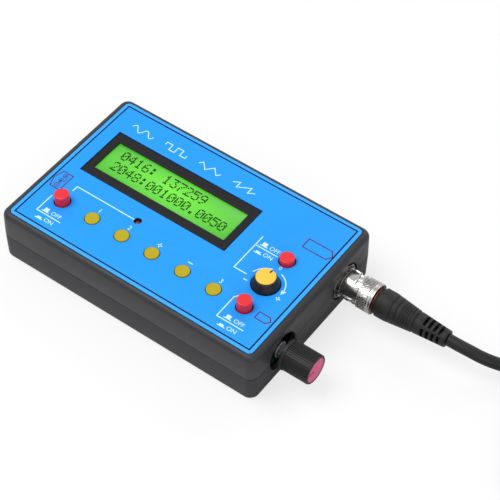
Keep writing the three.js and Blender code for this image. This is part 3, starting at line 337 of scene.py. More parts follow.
def turned(name, profile, place=Matrix(), sides=96, closed=False):
    """Spins a profile of radius and height about its axis; a closed profile makes a ring."""
    points = [(radius, 0, height) for radius, height in profile]
    edges = [(i, i + 1) for i in range(len(points) - 1)]
    if closed:
        edges.append((len(points) - 1, 0))
    piece = drawn(name, points, edges)
    editing(piece, "VERT")
    bpy.ops.mesh.select_all(action="SELECT")
    bpy.ops.mesh.spin(steps=sides, angle=FULL_TURN, center=(0, 0, 0), axis=(0, 0, 1))
    bpy.ops.mesh.select_all(action="SELECT")
    bpy.ops.mesh.remove_doubles(threshold=WELD)
    face_outward()
    piece.data.transform(place)
    return piece


def extruded(name, outline, start, end, place=Matrix(), twist=0.0, steps=1):
    """Extrudes an outline along its axis, turning it by the twist on the way."""
    piece = drawn(name, [(*point, start) for point in outline], [], [range(len(outline))])
    editing(piece, "FACE")
    bpy.ops.mesh.select_all(action="SELECT")
    for _ in range(steps):
        rise = (end - start) / steps
        bpy.ops.mesh.extrude_region_move(TRANSFORM_OT_translate={"value": (0, 0, rise)})
        if twist:
            turn = twist / steps
            bpy.ops.transform.rotate(value=turn, orient_axis="Z", center_override=(0, 0, 0))
    face_outward()
    piece.data.transform(place)
    return piece


def toothed(radius, depth, teeth, land=0.5):
    """A ring of flat-topped teeth; land is the share of each pitch that a tooth's top takes."""
    root = radius - depth
    shares = [(0, radius), (land, radius), (land + FLANK, root), (1 - FLANK, root)]
    outline = []
    for tooth in range(teeth):
        for share, reach in shares:
            angle = FULL_TURN * (tooth + share) / teeth
            outline.append((reach * math.cos(angle), reach * math.sin(angle)))
    return outline


def upright(edge):
    return abs((edge.verts[0].co - edge.verts[1].co).normalized().z) > UPRIGHT


def rounded_slab(name, width, depth, radius, bottom, top, place=Matrix(), segments=8):
    """A plate with round upright corners."""
    piece = block(name, (-width / 2, -depth / 2, bottom), (width / 2, depth / 2, top))
    editing(piece, "EDGE")
    pick(piece, "edges", upright)
    bpy.ops.mesh.bevel(offset=radius, segments=segments, affect="EDGES", clamp_overlap=False)
    leave_editing()
    piece.data.transform(place)
    return piece


def framed(position, sideways, forward):
    """A place whose Z runs forward and whose X is turned as nearly sideways as it can be."""
    z = Vector(forward).normalized()
    x = Vector(sideways)
    x = (x - z * x.dot(z)).normalized()
    turn = Matrix((x, z.cross(x), z)).transposed().to_4x4()
    return Matrix.Translation(position) @ turn


def copies(model, places):
    """The model at its first place, and a copy with a mesh of its own at each other one."""
    pieces = [model]
    for _ in places[1:]:
        only(model)
        bpy.ops.object.duplicate()
        pieces.append(bpy.context.active_object)
    for piece, place in zip(pieces, places):
        piece.data.transform(place)
    return pieces


def upon(node, height=0):
    """A place on a node's upright middle line."""
    spot = centre(node)
    return Matrix.Translation((spot.x, spot.y, height))


def done(piece, look, body="root", stands_for=(), smooth=35):
    """Scales a piece to metres and gives it its material, body and the nodes it stands for."""
    piece.data.transform(Matrix.Scale(METRE, 4))
    piece.data.materials.clear()
    piece.data.materials.append(look)
    only(piece)
    bpy.ops.object.shade_smooth_by_angle(angle=math.radians(smooth))
    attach(piece, body)
    if stands_for:
        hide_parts(*stands_for)
    return piece


# Materials
METAL_SHINE = 0.5


class Tone:
    """A shader socket that takes part in sums, each of which adds its Math node."""

    def __init__(self, tree, socket=None):
        self.tree = tree
        self.socket = socket

    def node(self, kind, settings=None, inputs=None, out=0):
        made = self.tree.nodes.new(kind)
        for name, value in (settings or {}).items():
            setattr(made, name, value)
        for name, value in (inputs or {}).items():
            if isinstance(value, Tone):
                self.tree.links.new(value.socket, made.inputs[name])
            else:
                made.inputs[name].default_value = value
        return Tone(self.tree, made.outputs[out] if made.outputs else None)

    def math(self, operation, *values):
        return self.node("ShaderNodeMath", {"operation": operation}, dict(enumerate(values)))

    def __add__(self, other):
        return self.math("ADD", self, other)

    def __sub__(self, other):
        return self.math("SUBTRACT", self, other)

    def __rsub__(self, other):
        return self.math("SUBTRACT", other, self)

    def __mul__(self, other):
        return self.math("MULTIPLY", self, other)

    def __abs__(self):
        return self.math("ABSOLUTE", self)

    def __gt__(self, other):
        return self.math("GREATER_THAN", self, other)

    def __lt__(self, other):
        return self.math("LESS_THAN", self, other)

    __radd__ = __add__
    __rmul__ = __mul__


def colour(red, green, blue):
    """A colour written as on a screen, 0 to 255, in the linear values that shaders take."""
    def linear(value):
        share = value / 255
        return share / 12.92 if share <= 0.04045 else ((share + 0.055) / 1.055) ** 2.4
    return (linear(red), linear(green), linear(blue), 1)


def new_look(name):
    look = bpy.data.materials.new(name)
    look.use_nodes = True
    tree = look.node_tree
    tree.nodes.clear()
    start = Tone(tree)
    spot = start.node("ShaderNodeTexCoord", out="Object")
    return look, start, spot


def close_look(start, inputs):
    shader = start.node("ShaderNodeBsdfPrincipled", None, inputs)
    start.node("ShaderNodeOutputMaterial", None, {"Surface": shader})


def noise(spot, scale, detail=3.0):
    return spot.node("ShaderNodeTexNoise", None, {"Vector": spot, "Scale": scale, "Detail": detail})


def mixed(start, share, first, second):
    settings = {"data_type": "RGBA"}
    return start.node("ShaderNodeMix", settings, {0: share, 6: first, 7: second}, out=2)


def bump(start, height, depth):
    return start.node("ShaderNodeBump", None, {"Height": height, "Distance": depth * METRE})


def tinted(base, share):
    return tuple(min(channel * share, 1) for channel in base[:3]) + (1,)


def moulded(
    name, base, rough, grain=0.25, grain_depth=0.02, mottle=0.12, metallic=0.0, coat=0.0, shine=0.3
):
    """A finish with a fine grain and slight clouds of tone and gloss."""
    look, start, spot = new_look(name)
    clouds = noise(spot, 90, 4.0)
    fine = noise(spot, 1 / (grain * METRE), 2.0)
    level = clouds * 0.6 + fine * 0.4
    tone = mixed(start, level, tinted(base, 1 - mottle), tinted(base, 1 + mottle))
    close_look(start, {
        "Base Color": tone,
        "Roughness": rough + (clouds - 0.5) * 0.16 + (fine - 0.5) * 0.1,
        "Metallic": metallic,
        "Specular IOR Level": METAL_SHINE if metallic else shine,
        "Coat Weight": coat,
        "Coat Roughness": 0.25,
        "Normal": bump(start, fine, grain_depth),
    })
    return look


CASE_GREY = colour(42, 42, 45)
LABEL_BLUE = colour(38, 154, 252)
STRIP_BLUE = colour(62, 168, 250)
LINE_NAVY = colour(8, 22, 52)
TAG_MAROON = colour(92, 24, 52)
INK_PALE = colour(205, 240, 255)
BEZEL_BLACK = colour(15, 15, 19)
GLASS_GREEN = colour(104, 212, 56)
GLASS_EDGE_GREEN = colour(64, 166, 36)
DOT_DARK = colour(18, 44, 12)
CAP_RED = colour(222, 34, 46)
KEY_YELLOW = colour(178, 160, 12)
CAP_YELLOW = colour(246, 196, 66)
CAP_PINK = colour(204, 82, 126)
LAMP_SMOKE = colour(92, 44, 42)
KNOB_BLACK = colour(24, 24, 26)
RUBBER_BLACK = colour(20, 20, 22)
NICKEL = colour(178, 176, 174)
NUT_GREY = colour(104, 102, 100)
COPPER = colour(108, 64, 44)
LEAD_BLACK = colour(9, 9, 10)
ZINC = colour(180, 182, 186)
# The board's green is darker than the mask's own colour: painted shade, so the inside of the case
# looks dark through the port holes.
BOARD_GREEN_DARKENED_AS_SHADE = colour(12, 52, 30)
PART_BLACK = colour(27, 27, 29)
PART_WHITE = colour(232, 229, 218)


# Dark line round the front, which the label's looks and print share
LINE_REACH = (56.8, 35.6)
LINE_WIDTH = 0.6


def label_film():
    """Printed film: a paler strip outside the line, and a fine satin surface."""
    look, start, spot = new_look("label_film")
    axes = [start.node("ShaderNodeSeparateXYZ", None, {"Vector": spot}, out=i) for i in (0, 1)]
    past = [abs(axis) - reach * METRE for axis, reach in zip(axes, LINE_REACH)]
    outside = start.math("MAXIMUM", past[0], past[1]) > 0
    clouds = noise(spot, 35, 3.0)
    satin = noise(spot, 2600, 2.0)
    blue = mixed(start, clouds, tinted(LABEL_BLUE, 0.94), tinted(LABEL_BLUE, 1.04))
    close_look(start, {
        "Base Color": mixed(start, outside * 0.8, blue, STRIP_BLUE),
        "Roughness": 0.45 + (clouds - 0.5) * 0.1 + (satin - 0.5) * 0.08,
        "Specular IOR Level": 0.15,
        "Normal": bump(start, satin, 0.006),
    })
    return look


def lit_film():
    """The lit display: brightest in the middle, with faint clouds in its green."""
    look, start, spot = new_look("lit_film")
    middle = centre("display_glass") * METRE
    low, high = extent("display_glass")
    place = start.node("ShaderNodeVectorMath", {"operation": "SUBTRACT"}, {0: spot, 1: middle})
    stretch = (2 / ((high.x - low.x) * METRE), 2 / ((high.y - low.y) * METRE), 0)
    share = start.node("ShaderNodeVectorMath", {"operation": "MULTIPLY"}, {0: place, 1: stretch})
    away = start.node("ShaderNodeVectorMath", {"operation": "LENGTH"}, {0: share}, out="Value")
    clouds = noise(spot, 120, 2.0)
    level = start.math("SMOOTH_MIN", away * 0.8 + (clouds - 0.5) * 0.1, 1, 0.1)
    green = mixed(start, level, GLASS_GREEN, GLASS_EDGE_GREEN)
    close_look(start, {
        "Base Color": green,
        "Roughness": 0.28 + (clouds - 0.5) * 0.05,
        "Emission Color": green,
        "Emission Strength": 0.22,
    })
    return look


case_plastic = moulded("case_plastic", CASE_GREY, 0.46, grain=0.35, grain_depth=0.03)
label_print = label_film()
bezel_metal = moulded("bezel_metal", BEZEL_BLACK, 0.5, grain=0.2, grain_depth=0.01, shine=0.2)
display_light = lit_film()
dot_film = moulded("dot_film", DOT_DARK, 0.5, grain_depth=0.001, shine=0.05)
pale_ink = moulded("pale_ink", INK_PALE, 0.45, grain_depth=0.004, mottle=0.04)
navy_ink = moulded("navy_ink", LINE_NAVY, 0.45, grain_depth=0.004, shine=0.1)
maroon_ink = moulded("maroon_ink", TAG_MAROON, 0.45, grain_depth=0.004, shine=0.1)
lamp_lens = moulded("lamp_lens", LAMP_SMOKE, 0.3, grain_depth=0.004, mottle=0.2, coat=0.3)
red_plastic = moulded(
    "red_plastic", CAP_RED, 0.34, grain=0.5, grain_depth=0.01, mottle=0.06, coat=0.3
)
key_plastic = moulded("key_plastic", KEY_YELLOW, 0.45, grain=0.3, grain_depth=0.02, mottle=0.06)
amber_plastic = moulded("amber_plastic", CAP_YELLOW, 0.4, grain_depth=0.01, mottle=0.08, coat=0.2)
pink_plastic = moulded("pink_plastic", CAP_PINK, 0.5, grain=0.2, grain_depth=0.02, mottle=0.1)
knob_plastic = moulded("knob_plastic", KNOB_BLACK, 0.42, grain=0.3, grain_depth=0.03)
rubber = moulded("rubber", RUBBER_BLACK, 0.55, grain=0.35, grain_depth=0.04)
lead_rubber = moulded("lead_rubber", LEAD_BLACK, 0.5, grain=0.35, grain_depth=0.03)
nickel = moulded("nickel", NICKEL, 0.2, 0.6, grain_depth=0.004, mottle=0.08, metallic=1.0)
copper = moulded("copper", COPPER, 0.3, grain_depth=0.008, metallic=1.0)
dull_nickel = moulded("dull_nickel", NUT_GREY, 0.36, 0.6, grain_depth=0.006, metallic=1.0)
zinc = moulded("zinc", ZINC, 0.36, grain=0.3, grain_depth=0.01, metallic=1.0)
# Board finish: mask green darkened as painted shade for the inside of the case.
solder_mask_painted_shade = moulded("solder_mask_painted_shade", BOARD_GREEN_DARKENED_AS_SHADE, 0.45, grain=1.2, grain_depth=0.02, mottle=0.2)
part_black = moulded("part_black", PART_BLACK, 0.5)
part_white = moulded("part_white", PART_WHITE, 0.5)

lead.data.materials.append(lead_rubber)

# Case: two drawn shells that meet in a fine gap, with the lower one's lip behind it
CASE_LOW = extent("bottom_case")[0]
CASE_HIGH = extent("top_case")[1]
CASE_WIDTH = CASE_HIGH.x - CASE_LOW.x
CASE_DEPTH = CASE_HIGH.y - CASE_LOW.y
CASE_WALL = 2.2
CASE_CORNER = 4
CASE_DRAFT = 0.2
TOP_ROUNDING = 2.4
BOTTOM_ROUNDING = 1.2
PARTING_HEIGHT = 12.4
PARTING_GAP = 0.3
LIP_THICKNESS = 0.8
LIP_HEIGHT = 1.5
FIT = 0.3
OVERRUN = 1
CUT_EDGE = 0.12
LABEL_CORNER = 2
LABEL_EDGE = 0.08
LABEL_SEAT = 0.05
CORNER_SEGMENTS = 12
PORT_RADIUS = 8.25
INLET_RADIUS = 4.75
PILLAR_RADIUS = 3.2
SCREW_RECESS_RADIUS = 2.8
SCREW_HEAD = 2.1
INNER_WIDTH = CASE_WIDTH - 2 * (CASE_DRAFT + CASE_WALL)
INNER_DEPTH = CASE_DEPTH - 2 * (CASE_DRAFT + CASE_WALL)
INNER_CORNER = CASE_CORNER - CASE_WALL
OUTPUT_Y = centre("coupling_nut").y
LEVEL_Y = centre("level_knob").y
INLET_Y = centre("power_inlet").y
SCREWS = [f"case_screw_{i}" for i in (1, 2, 3, 4)]
BUTTONS = {"power": "power_button", "meter": "meter_button", "offset": "offset_button"}
KEYS = [f"key_{i}" for i in range(1, 6)]
BUTTON_HOLE = 3.5
KEY_HOLE = 3.25
LAMP_HOLE = 1.65
OFFSET_HOLE = 5.95


def toward_output(distance, y):
    return framed((distance, y, PARTING_HEIGHT), UP, (1, 0, 0))


def toward_inlet(distance, y):
    return framed((distance, y, PARTING_HEIGHT), UP, (-1, 0, 0))


def case_half(name, bottom, top, end, rounding):
    """One half: a block with round corners, drawn in towards its end and rounded over there."""
    size = [CASE_WIDTH, CASE_DEPTH, CASE_CORNER]
    piece = rounded_slab(name, *size, bottom, top, segments=CORNER_SEGMENTS)
    editing(piece, "FACE")
    pick(piece, "faces", lambda face: face.normal.z * end > UPRIGHT)
    shrink = (1 - 2 * CASE_DRAFT / CASE_WIDTH, 1 - 2 * CASE_DRAFT / CASE_DEPTH, 1)
    bpy.ops.transform.resize(value=shrink, center_override=(0, 0, 0))
    bpy.ops.mesh.region_to_loop()
    bpy.ops.mesh.bevel(offset=rounding, segments=6, affect="EDGES", clamp_overlap=False)
    leave_editing()
    return piece


def port_tools():
    ends = [-2 * CASE_WALL, OVERRUN]
    right = [toward_output(CASE_WIDTH / 2, y) for y in (OUTPUT_Y, LEVEL_Y)]
    tools = [rod("port", PORT_RADIUS, *ends, place, 96) for place in right]
    return [*tools, rod("port", INLET_RADIUS, *ends, toward_inlet(-CASE_WIDTH / 2, INLET_Y))]


def control_tools(bottom, top):
    """Cutters for the openings of the front, the same in the case and in the label."""
    low, high = extent("display_bezel")
    tools = [block("window", (low.x - FIT, low.y - FIT, bottom), (high.x + FIT, high.y + FIT, top))]
    holes = [(node, BUTTON_HOLE) for node in BUTTONS.values()]
    holes += [(node, KEY_HOLE) for node in KEYS]
    holes += [("indicator_lamp", LAMP_HOLE), ("offset_knob", OFFSET_HOLE)]
    return tools + [rod("hole", radius, bottom, top, upon(node)) for node, radius in holes]


def upper_case():
    bottom = PARTING_HEIGHT + PARTING_GAP / 2
    piece = case_half("upper_shell", bottom, CASE_HIGH.z, 1, TOP_ROUNDING)
    plate = CASE_HIGH.z - CASE_WALL
    lip_room = 2 * (LIP_THICKNESS + FIT)
    low, high = extent("front_label")
    pocket = [high.x - low.x + 2 * FIT, high.y - low.y + 2 * FIT, LABEL_CORNER + FIT]
    rebate = [INNER_WIDTH + lip_room, INNER_DEPTH + lip_room, INNER_CORNER + lip_room / 2]
    rebate_top = PARTING_HEIGHT - PARTING_GAP / 2 + LIP_HEIGHT + FIT
    carve(
        piece,
        rounded_slab("cavity", INNER_WIDTH, INNER_DEPTH, INNER_CORNER, bottom - OVERRUN, plate),
        rounded_slab("pocket", *pocket, low.z - LABEL_SEAT, CASE_HIGH.z + OVERRUN),
    )
    carve(piece, rounded_slab("rebate", *rebate, bottom - OVERRUN, rebate_top))
    span = [bottom, plate + OVERRUN]
    fuse(piece, *[rod("pillar", PILLAR_RADIUS, *span, upon(screw), 32) for screw in SCREWS])
    carve(piece, *control_tools(plate - OVERRUN, CASE_HIGH.z + OVERRUN), *port_tools())
    bevelled(piece, CUT_EDGE, 2, 50)
    return done(piece, case_plastic, stands_for=["top_case"])


def lower_case():
    top = PARTING_HEIGHT - PARTING_GAP / 2
    piece = case_half("lower_shell", 0, top, -1, BOTTOM_ROUNDING)
    inner = [INNER_WIDTH, INNER_DEPTH, INNER_CORNER]
    carve(piece, rounded_slab("cavity", *inner, CASE_WALL, top + OVERRUN))
    outer = [INNER_WIDTH + 2 * LIP_THICKNESS, INNER_DEPTH + 2 * LIP_THICKNESS]
    outer.append(INNER_CORNER + LIP_THICKNESS)
    lip = rounded_slab("lip", *outer, top - OVERRUN, top + LIP_HEIGHT)
    carve(lip, rounded_slab("lip_room", *inner, top - 2 * OVERRUN, top + LIP_HEIGHT + OVERRUN))
    spots = [upon(screw) for screw in SCREWS]
    fuse(piece, lip, *[rod("post", PILLAR_RADIUS, CASE_WALL / 2, top, spot, 32) for spot in spots])
    depths = [-OVERRUN, extent(SCREWS[0])[0].z + SCREW_HEAD]
    carve(piece, *[rod("recess", SCREW_RECESS_RADIUS, *depths, spot, 48) for spot in spots])
    carve(piece, *port_tools())
    bevelled(piece, CUT_EDGE, 2, 50)
    return done(piece, case_plastic, stands_for=["bottom_case"])


def label_plate():
    low, high = extent("front_label")
    size = [high.x - low.x, high.y - low.y, LABEL_CORNER]
    piece = rounded_slab("label_plate", *size, low.z, high.z)
    carve(piece, *control_tools(low.z - OVERRUN, high.z + OVERRUN))
    bevelled(piece, LABEL_EDGE, 2, 50)
    return done(piece, label_print, stands_for=["front_label"])


upper_case()
lower_case()
label_plate()

# Front print: fine raised ink on the label
INK_THICKNESS = 0.03
LINE_ART_WIDTH = 0.42
SYMBOL_WIDTH = 0.38
SIGN_WIDTH = 0.4
SIGN_SIZE = 2.2
TAG_WIDTH = 0.42
KEY_SIGN_Y = -15.8
KEY_FIGURE_HEIGHT = 2.1
SYMBOL_BASE = 0.75
SYMBOL_UP = 1
SYMBOL_DOWN = 0.1
SYMBOL_DROP = 4.2
WAVE_Y = 27.6
WAVE_SIZE = (11, 1.5)
WAVE_STARTS = (-48.5, -31.5, -14.5, 2.5)
PALE_LINES = [
    [(-50.4, -20.8), (-50.4, -30), (-38.5, -30)],
    [(-45.3, -14.3), (-45.3, -11.4), (-16.5, -11.4)],
    [(39.2, -17.6), (38.6, -17.6), (37.6, -19), (37.6, -30), (49.9, -30)],
    [(28.9, 11.5), (28.9, -7.3), (34.9, -7.3)],
    [(28.9, 6.5), (39.4, 6.5)],
]
OFFSET_SCALE = (43.5, -7, 7.7)
OFFSET_SPANS = [(75, 8), (105, 165)]
ARROWHEAD = [(51, -7.9), (52.2, -5.6), (50.2, -5.8)]
SWITCH_SIGNS = [(-47, -28), (41.7, -28), (32, 8.6)]
PALE_WORDS = [
    ("OFF", -42.2, -28, 1.9), ("ON", -42.6, -32.2, 1.9),
    ("OFF", 46.6, -28, 1.9), ("ON", 46.1, -32.3, 1.9),
    ("OFF", 36.8, 8.5, 1.9), ("ON", 36.3, 4.4, 1.9),
    ("0", 43.6, 2.6, 1.7),
]
TAGS = [
    [(49.5, -22.4), (49.5, -19), (54.3, -19), (55.7, -20.7), (54.3, -22.4)],
    [(44, 16.5), (44, 21.3), (54.8, 21.3), (56.4, 18.9), (54.8, 16.5)],
    [(-50, -17), (-50, -8.2), (-54.8, -8.2), (-56.2, -12.6), (-54.8, -17)],
]
POLARITY_X = -52.6
POLARITY_Y = -12.6
POLARITY_REACH = 2.7
POLARITY_RING = 0.95
POLARITY_DOT = 0.45
POLARITY_WIDTH = 0.3
POLARITY_STROKES = [
    [(-53.1, -15.3), (-52.1, -15.3)],
    [(-53.1, -9.9), (-52.1, -9.9)],
    [(-52.6, -10.4), (-52.6, -9.4)],
    [(-52.6, -14.3), (-52.6, -13)],
    [(-51.7, -12.6), (-51.2, -12.6), (-51.2, -10.6)],
]


def ribbon(points, width, closed=False):
    """A flat band of ink along a line, mitred at its corners."""
    points = [Vector((*point, 0)) for point in points]
    count = len(points)
    sides = []
    for i, point in enumerate(points):
        before = points[i - 1] if i or closed else None
        after = points[(i + 1) % count] if i + 1 < count or closed else None
        ahead = (after - point).normalized() if after else (point - before).normalized()
        behind = (point - before).normalized() if before else ahead
        along = (ahead + behind).normalized()
        reach = width / 2 / max(along.dot(ahead), 0.35)
        aside = UP.cross(along) * reach
        sides.append((point + aside, point - aside))
    spots = [spot for pair in sides for spot in pair]
    links = range(count if closed else count - 1)
    faces = [(2 * i, 2 * i + 1, 2 * ((i + 1) % count) + 1, 2 * ((i + 1) % count)) for i in links]
    return drawn("ink", spots, [], faces)


def spot_of_ink(points):
    """A filled outline; its points run anticlockwise, so that its ink rises from the label."""
    return drawn("ink", [(*point, 0) for point in points], [], [range(len(points))])


def arc(x, y, radius, start, end, steps=16):
    """Points on part of a circle; angles in degrees."""
    angles = [math.radians(start + (end - start) * i / steps) for i in range(steps + 1)]
    return [(x + radius * math.cos(angle), y + radius * math.sin(angle)) for angle in angles]


def lettering(words, x, y, height):
    """Plain figures or a plain word, centred on a place."""
    bpy.ops.object.text_add()
    text = bpy.context.active_object
    text.data.body = words
    text.data.align_x = "CENTER"
    text.data.resolution_u = 4
    bpy.ops.object.convert(target="MESH")
    mesh = text.data
    spans = [[vertex.co[k] for vertex in mesh.vertices] for k in (0, 1)]
    middle = Vector([(min(span) + max(span)) / 2 for span in spans] + [0])
    grow = Matrix.Scale(height / (max(spans[1]) - min(spans[1])), 4)
    mesh.transform(Matrix.Translation((x, y, 0)) @ grow @ Matrix.Translation(-middle))
    editing(text, "VERT")
    bpy.ops.mesh.select_all(action="SELECT")
    bpy.ops.mesh.remove_doubles(threshold=2 * WELD)
    leave_editing()
    return text


def box_of_ink(left, right, low, high):
    return spot_of_ink([(left, low), (right, low), (right, high), (left, high)])


def push_symbol(x, y, top):
    """A button's sign: a filled cap on its panel line, up or pressed down."""
    base = y - SYMBOL_BASE
    return [
        box_of_ink(x - 1.8, x + 1.8, base - 0.35, base),
        box_of_ink(x - 1, x + 1, base, y + top),
    ]


def minus_sign(x, y, size=SIGN_SIZE):
    return [ribbon([(x - size / 2, y), (x + size / 2, y)], SIGN_WIDTH)]


def plus_sign(x, y, size=SIGN_SIZE):
    upright_stroke = ribbon([(x, y - size / 2), (x, y + size / 2)], SIGN_WIDTH)
    return [*minus_sign(x, y, size), upright_stroke]


def wave_signs():
    """Plain signs for the four waveforms, in a row behind the display."""
    length, height = WAVE_SIZE
    quarter = length / 4
    sine = [(i / 24 * length, height * math.sin(FULL_TURN * i / 12)) for i in range(25)]
    square = [(0, 0), (0, height)]
    for i in range(1, 4):
        side = height * (-1) ** i
        square += [(i * quarter, -side), (i * quarter, side)]
    square += [(length, -height), (length, 0)]
    peaks = [((i + 0.5) * quarter, height * (-1) ** i) for i in range(4)]
    triangle = [(0, 0), *peaks, (length, 0)]
    saw = [
        (0, 0), (quarter, height), (quarter, -height),
        (3 * quarter, height), (3 * quarter, -height), (length, 0),
    ]
    signs = []
    for start, wave in zip(WAVE_STARTS, (sine, square, triangle, saw)):
        signs.append(ribbon([(start + x, WAVE_Y + y) for x, y in wave], SYMBOL_WIDTH))
    return signs


def pale_art():
    """The lines, signs and figures in pale ink."""
    lines = [*PALE_LINES, *(arc(*OFFSET_SCALE, *span) for span in OFFSET_SPANS)]
    art = [ribbon(line, LINE_ART_WIDTH) for line in lines]
    art += [spot_of_ink(ARROWHEAD), *wave_signs()]
    for x, y in SWITCH_SIGNS:
        art += push_symbol(x, y, SYMBOL_UP) + push_symbol(x, y - SYMBOL_DROP, SYMBOL_DOWN)
    art += [lettering(*word) for word in PALE_WORDS]
    art += minus_sign(36.0, -9.8, 1.9) + plus_sign(51.4, -10, 2)
    for node, words in zip(KEYS, ("1", "2", "+", "-", "3")):
        x = centre(node).x
        if words == "+":
            art += plus_sign(x, KEY_SIGN_Y)
        elif words == "-":
            art += minus_sign(x, KEY_SIGN_Y)
        else:
            art.append(lettering(words, x, KEY_SIGN_Y, KEY_FIGURE_HEIGHT))
    return finish_art("label_lines", art, pale_ink)


def finish_art(name, art, look):
    piece = joined(name, art)
    piece.data.transform(Matrix.Translation((0, 0, LABEL_TOP)))
    apply_modifier(piece, "SOLIDIFY", thickness=INK_THICKNESS, offset=1)
    return done(piece, look)


def border_line():
    x, y = LINE_REACH
    corners = [(x, y), (-x, y), (-x, -y), (x, -y)]
    return finish_art("label_border", [ribbon(corners, LINE_WIDTH, closed=True)], navy_ink)


def port_tags():
    """Arrow-shaped outlines that point at the ports, and the power port's polarity sign."""
    art = [ribbon(tag, TAG_WIDTH, closed=True) for tag in TAGS]
    cup = arc(POLARITY_X, POLARITY_Y, POLARITY_RING, 30, 330)
    dot = arc(POLARITY_X, POLARITY_Y, POLARITY_DOT, 0, 345, 23)
    art += [ribbon(cup, POLARITY_WIDTH), spot_of_ink(dot)]
    for y in (POLARITY_Y - POLARITY_REACH, POLARITY_Y + POLARITY_REACH):
        ring = arc(POLARITY_X, y, POLARITY_RING, 0, 345, 24)
        art.append(ribbon(ring, POLARITY_WIDTH, closed=True))
    art += [ribbon(stroke, POLARITY_WIDTH) for stroke in POLARITY_STROKES]
    return finish_art("label_tags", art, maroon_ink)


pale_art()
border_line()
port_tags()

# Display: a bezel with a chamfered window, its lit glass and the dots of its figures
VIEW_SIZE = (64.5, 16.4)
VIEW_CORNER = 0.4
VIEW_CHAMFER = 0.45
BEZEL_CORNER = 0.9
BEZEL_EDGE = 0.35
BEZEL_WALL = (2, 3)
BEZEL_FRONT = 0.6
GLASS_EDGE = 0.15
DISPLAY_ROWS = ["0416: 137259", "2048:001000.0050"]
ROW_TOPS = (15.8, 9.2)
CELL_START = -42.2
CELL_PITCH = 3.55
DOT_PITCH = (0.62, 0.7)
DOT_SIZE = (0.54, 0.62)
DOT_THICKNESS = 0.04
DOTS = {
    "0": "01110 10001 10011 10101 11001 10001 01110",
    "1": "00100 01100 00100 00100 00100 00100 01110",
    "2": "01110 10001 00001 00010 00100 01000 11111",
    "3": "11111 00010 00100 00010 00001 10001 01110",
    "4": "00010 00110 01010 10010 11111 00010 00010",
    "5": "11111 10000 11110 00001 00001 10001 01110",
    "6": "00110 01000 10000 11110 10001 10001 01110",
    "7": "11111 00001 00010 00100 01000 01000 01000",
    "8": "01110 10001 10001 01110 10001 10001 01110",
    "9": "01110 10001 10001 01111 00001 00010 01100",
    ":": "00000 01100 01100 00000 01100 01100 00000",
    ".": "00000 00000 00000 00000 00000 01100 01100",
}


def display():
    low, high = extent("display_bezel")
    spot = centre("display_bezel")
    hub = upon("display_bezel")
    size = [high.x - low.x, high.y - low.y, BEZEL_CORNER]
    bezel = rounded_slab("display_frame", *size, low.z, high.z, hub, 5)
    bevelled(bezel, BEZEL_EDGE, 3, 50)
    room_low = (low.x + BEZEL_WALL[0], low.y + BEZEL_WALL[1], low.z - OVERRUN)
    room_high = (high.x - BEZEL_WALL[0], high.y - BEZEL_WALL[1], high.z - BEZEL_FRONT)
    carve(bezel, block("room", room_low, room_high))
    window = [*VIEW_SIZE, VIEW_CORNER]
    carve(bezel, rounded_slab("window", *window, low.z - OVERRUN, high.z + OVERRUN, hub, 4))
    editing(bezel, "EDGE")

    def window_edge(edge):
        middle = (edge.verts[0].co + edge.verts[1].co) / 2 - spot
        flat = all(abs(vertex.co.z - high.z) < NEAR for vertex in edge.verts)
        inside = [abs(offset) < side / 2 + NEAR for offset, side in zip(middle, VIEW_SIZE)]
        return flat and all(inside)

    pick(bezel, "edges", window_edge)
    bpy.ops.mesh.bevel(offset=VIEW_CHAMFER, segments=3, affect="EDGES", clamp_overlap=False)
    leave_editing()
    done(bezel, bezel_metal, stands_for=["display_bezel"])
    low, high = extent("display_glass")
    glass = bevelled(block("display_window", low, high), GLASS_EDGE, 2)
    done(glass, display_light, stands_for=["display_glass"])
    dots = []
    for top, row in zip(ROW_TOPS, DISPLAY_ROWS):
        for cell, figure in enumerate(row):
            if figure in DOTS:
                dots += figure_dots(DOTS[figure], CELL_START + cell * CELL_PITCH, top)
    width, depth = DOT_SIZE
    points, faces = [], []
    for x, y in dots:
        start = len(points)
        points += [(x, y, 0), (x + width, y, 0), (x + width, y - depth, 0), (x, y - depth, 0)]
        faces.append((start + 3, start + 2, start + 1, start))
    piece = drawn("display_figures", points, [], faces)
    piece.data.transform(Matrix.Translation((0, 0, high.z)))
    apply_modifier(piece, "SOLIDIFY", thickness=DOT_THICKNESS, offset=1)
    done(piece, dot_film)


def figure_dots(pattern, left, top):
    return [
        (left + column * DOT_PITCH[0], top - row * DOT_PITCH[1])
        for row, line in enumerate(pattern.split())
        for column, mark in enumerate(line)
        if mark == "1"
    ]


display()

# Push buttons, keys and lamp
CAP_EASE = 0.55
KEY_STEM = 1.6
KEY_RADIUS = 2.95
KEY_FLANGE_TOP = CASE_HIGH.z - CASE_WALL - 0.6
KEY_FLANGE_BOTTOM = KEY_FLANGE_TOP - 0.9
KEY_RIM = 0.75
KEY_DISH = 0.12
LAMP_RADIUS = 1.5
LAMP_BODY = 5
LEG_SPREAD = 1.02
LEG_HALF = 0.25


def push_buttons():
    """One cap is modelled, and its copies stand on the other plungers."""
    low, high = extent(BUTTONS["power"])
    radius, height = (high.x - low.x) / 2, high.z - low.z
    profile = eased(drum(radius, 0, height), CAP_EASE, 5)
    places = [upon(node, extent(node)[0].z) for node in BUTTONS.values()]
    caps = copies(turned("cap", profile), places)
    for (name, node), cap in zip(BUTTONS.items(), caps):
        cap.name = f"{name}_cap"
        done(cap, red_plastic, f"{name}_button_body", [node])


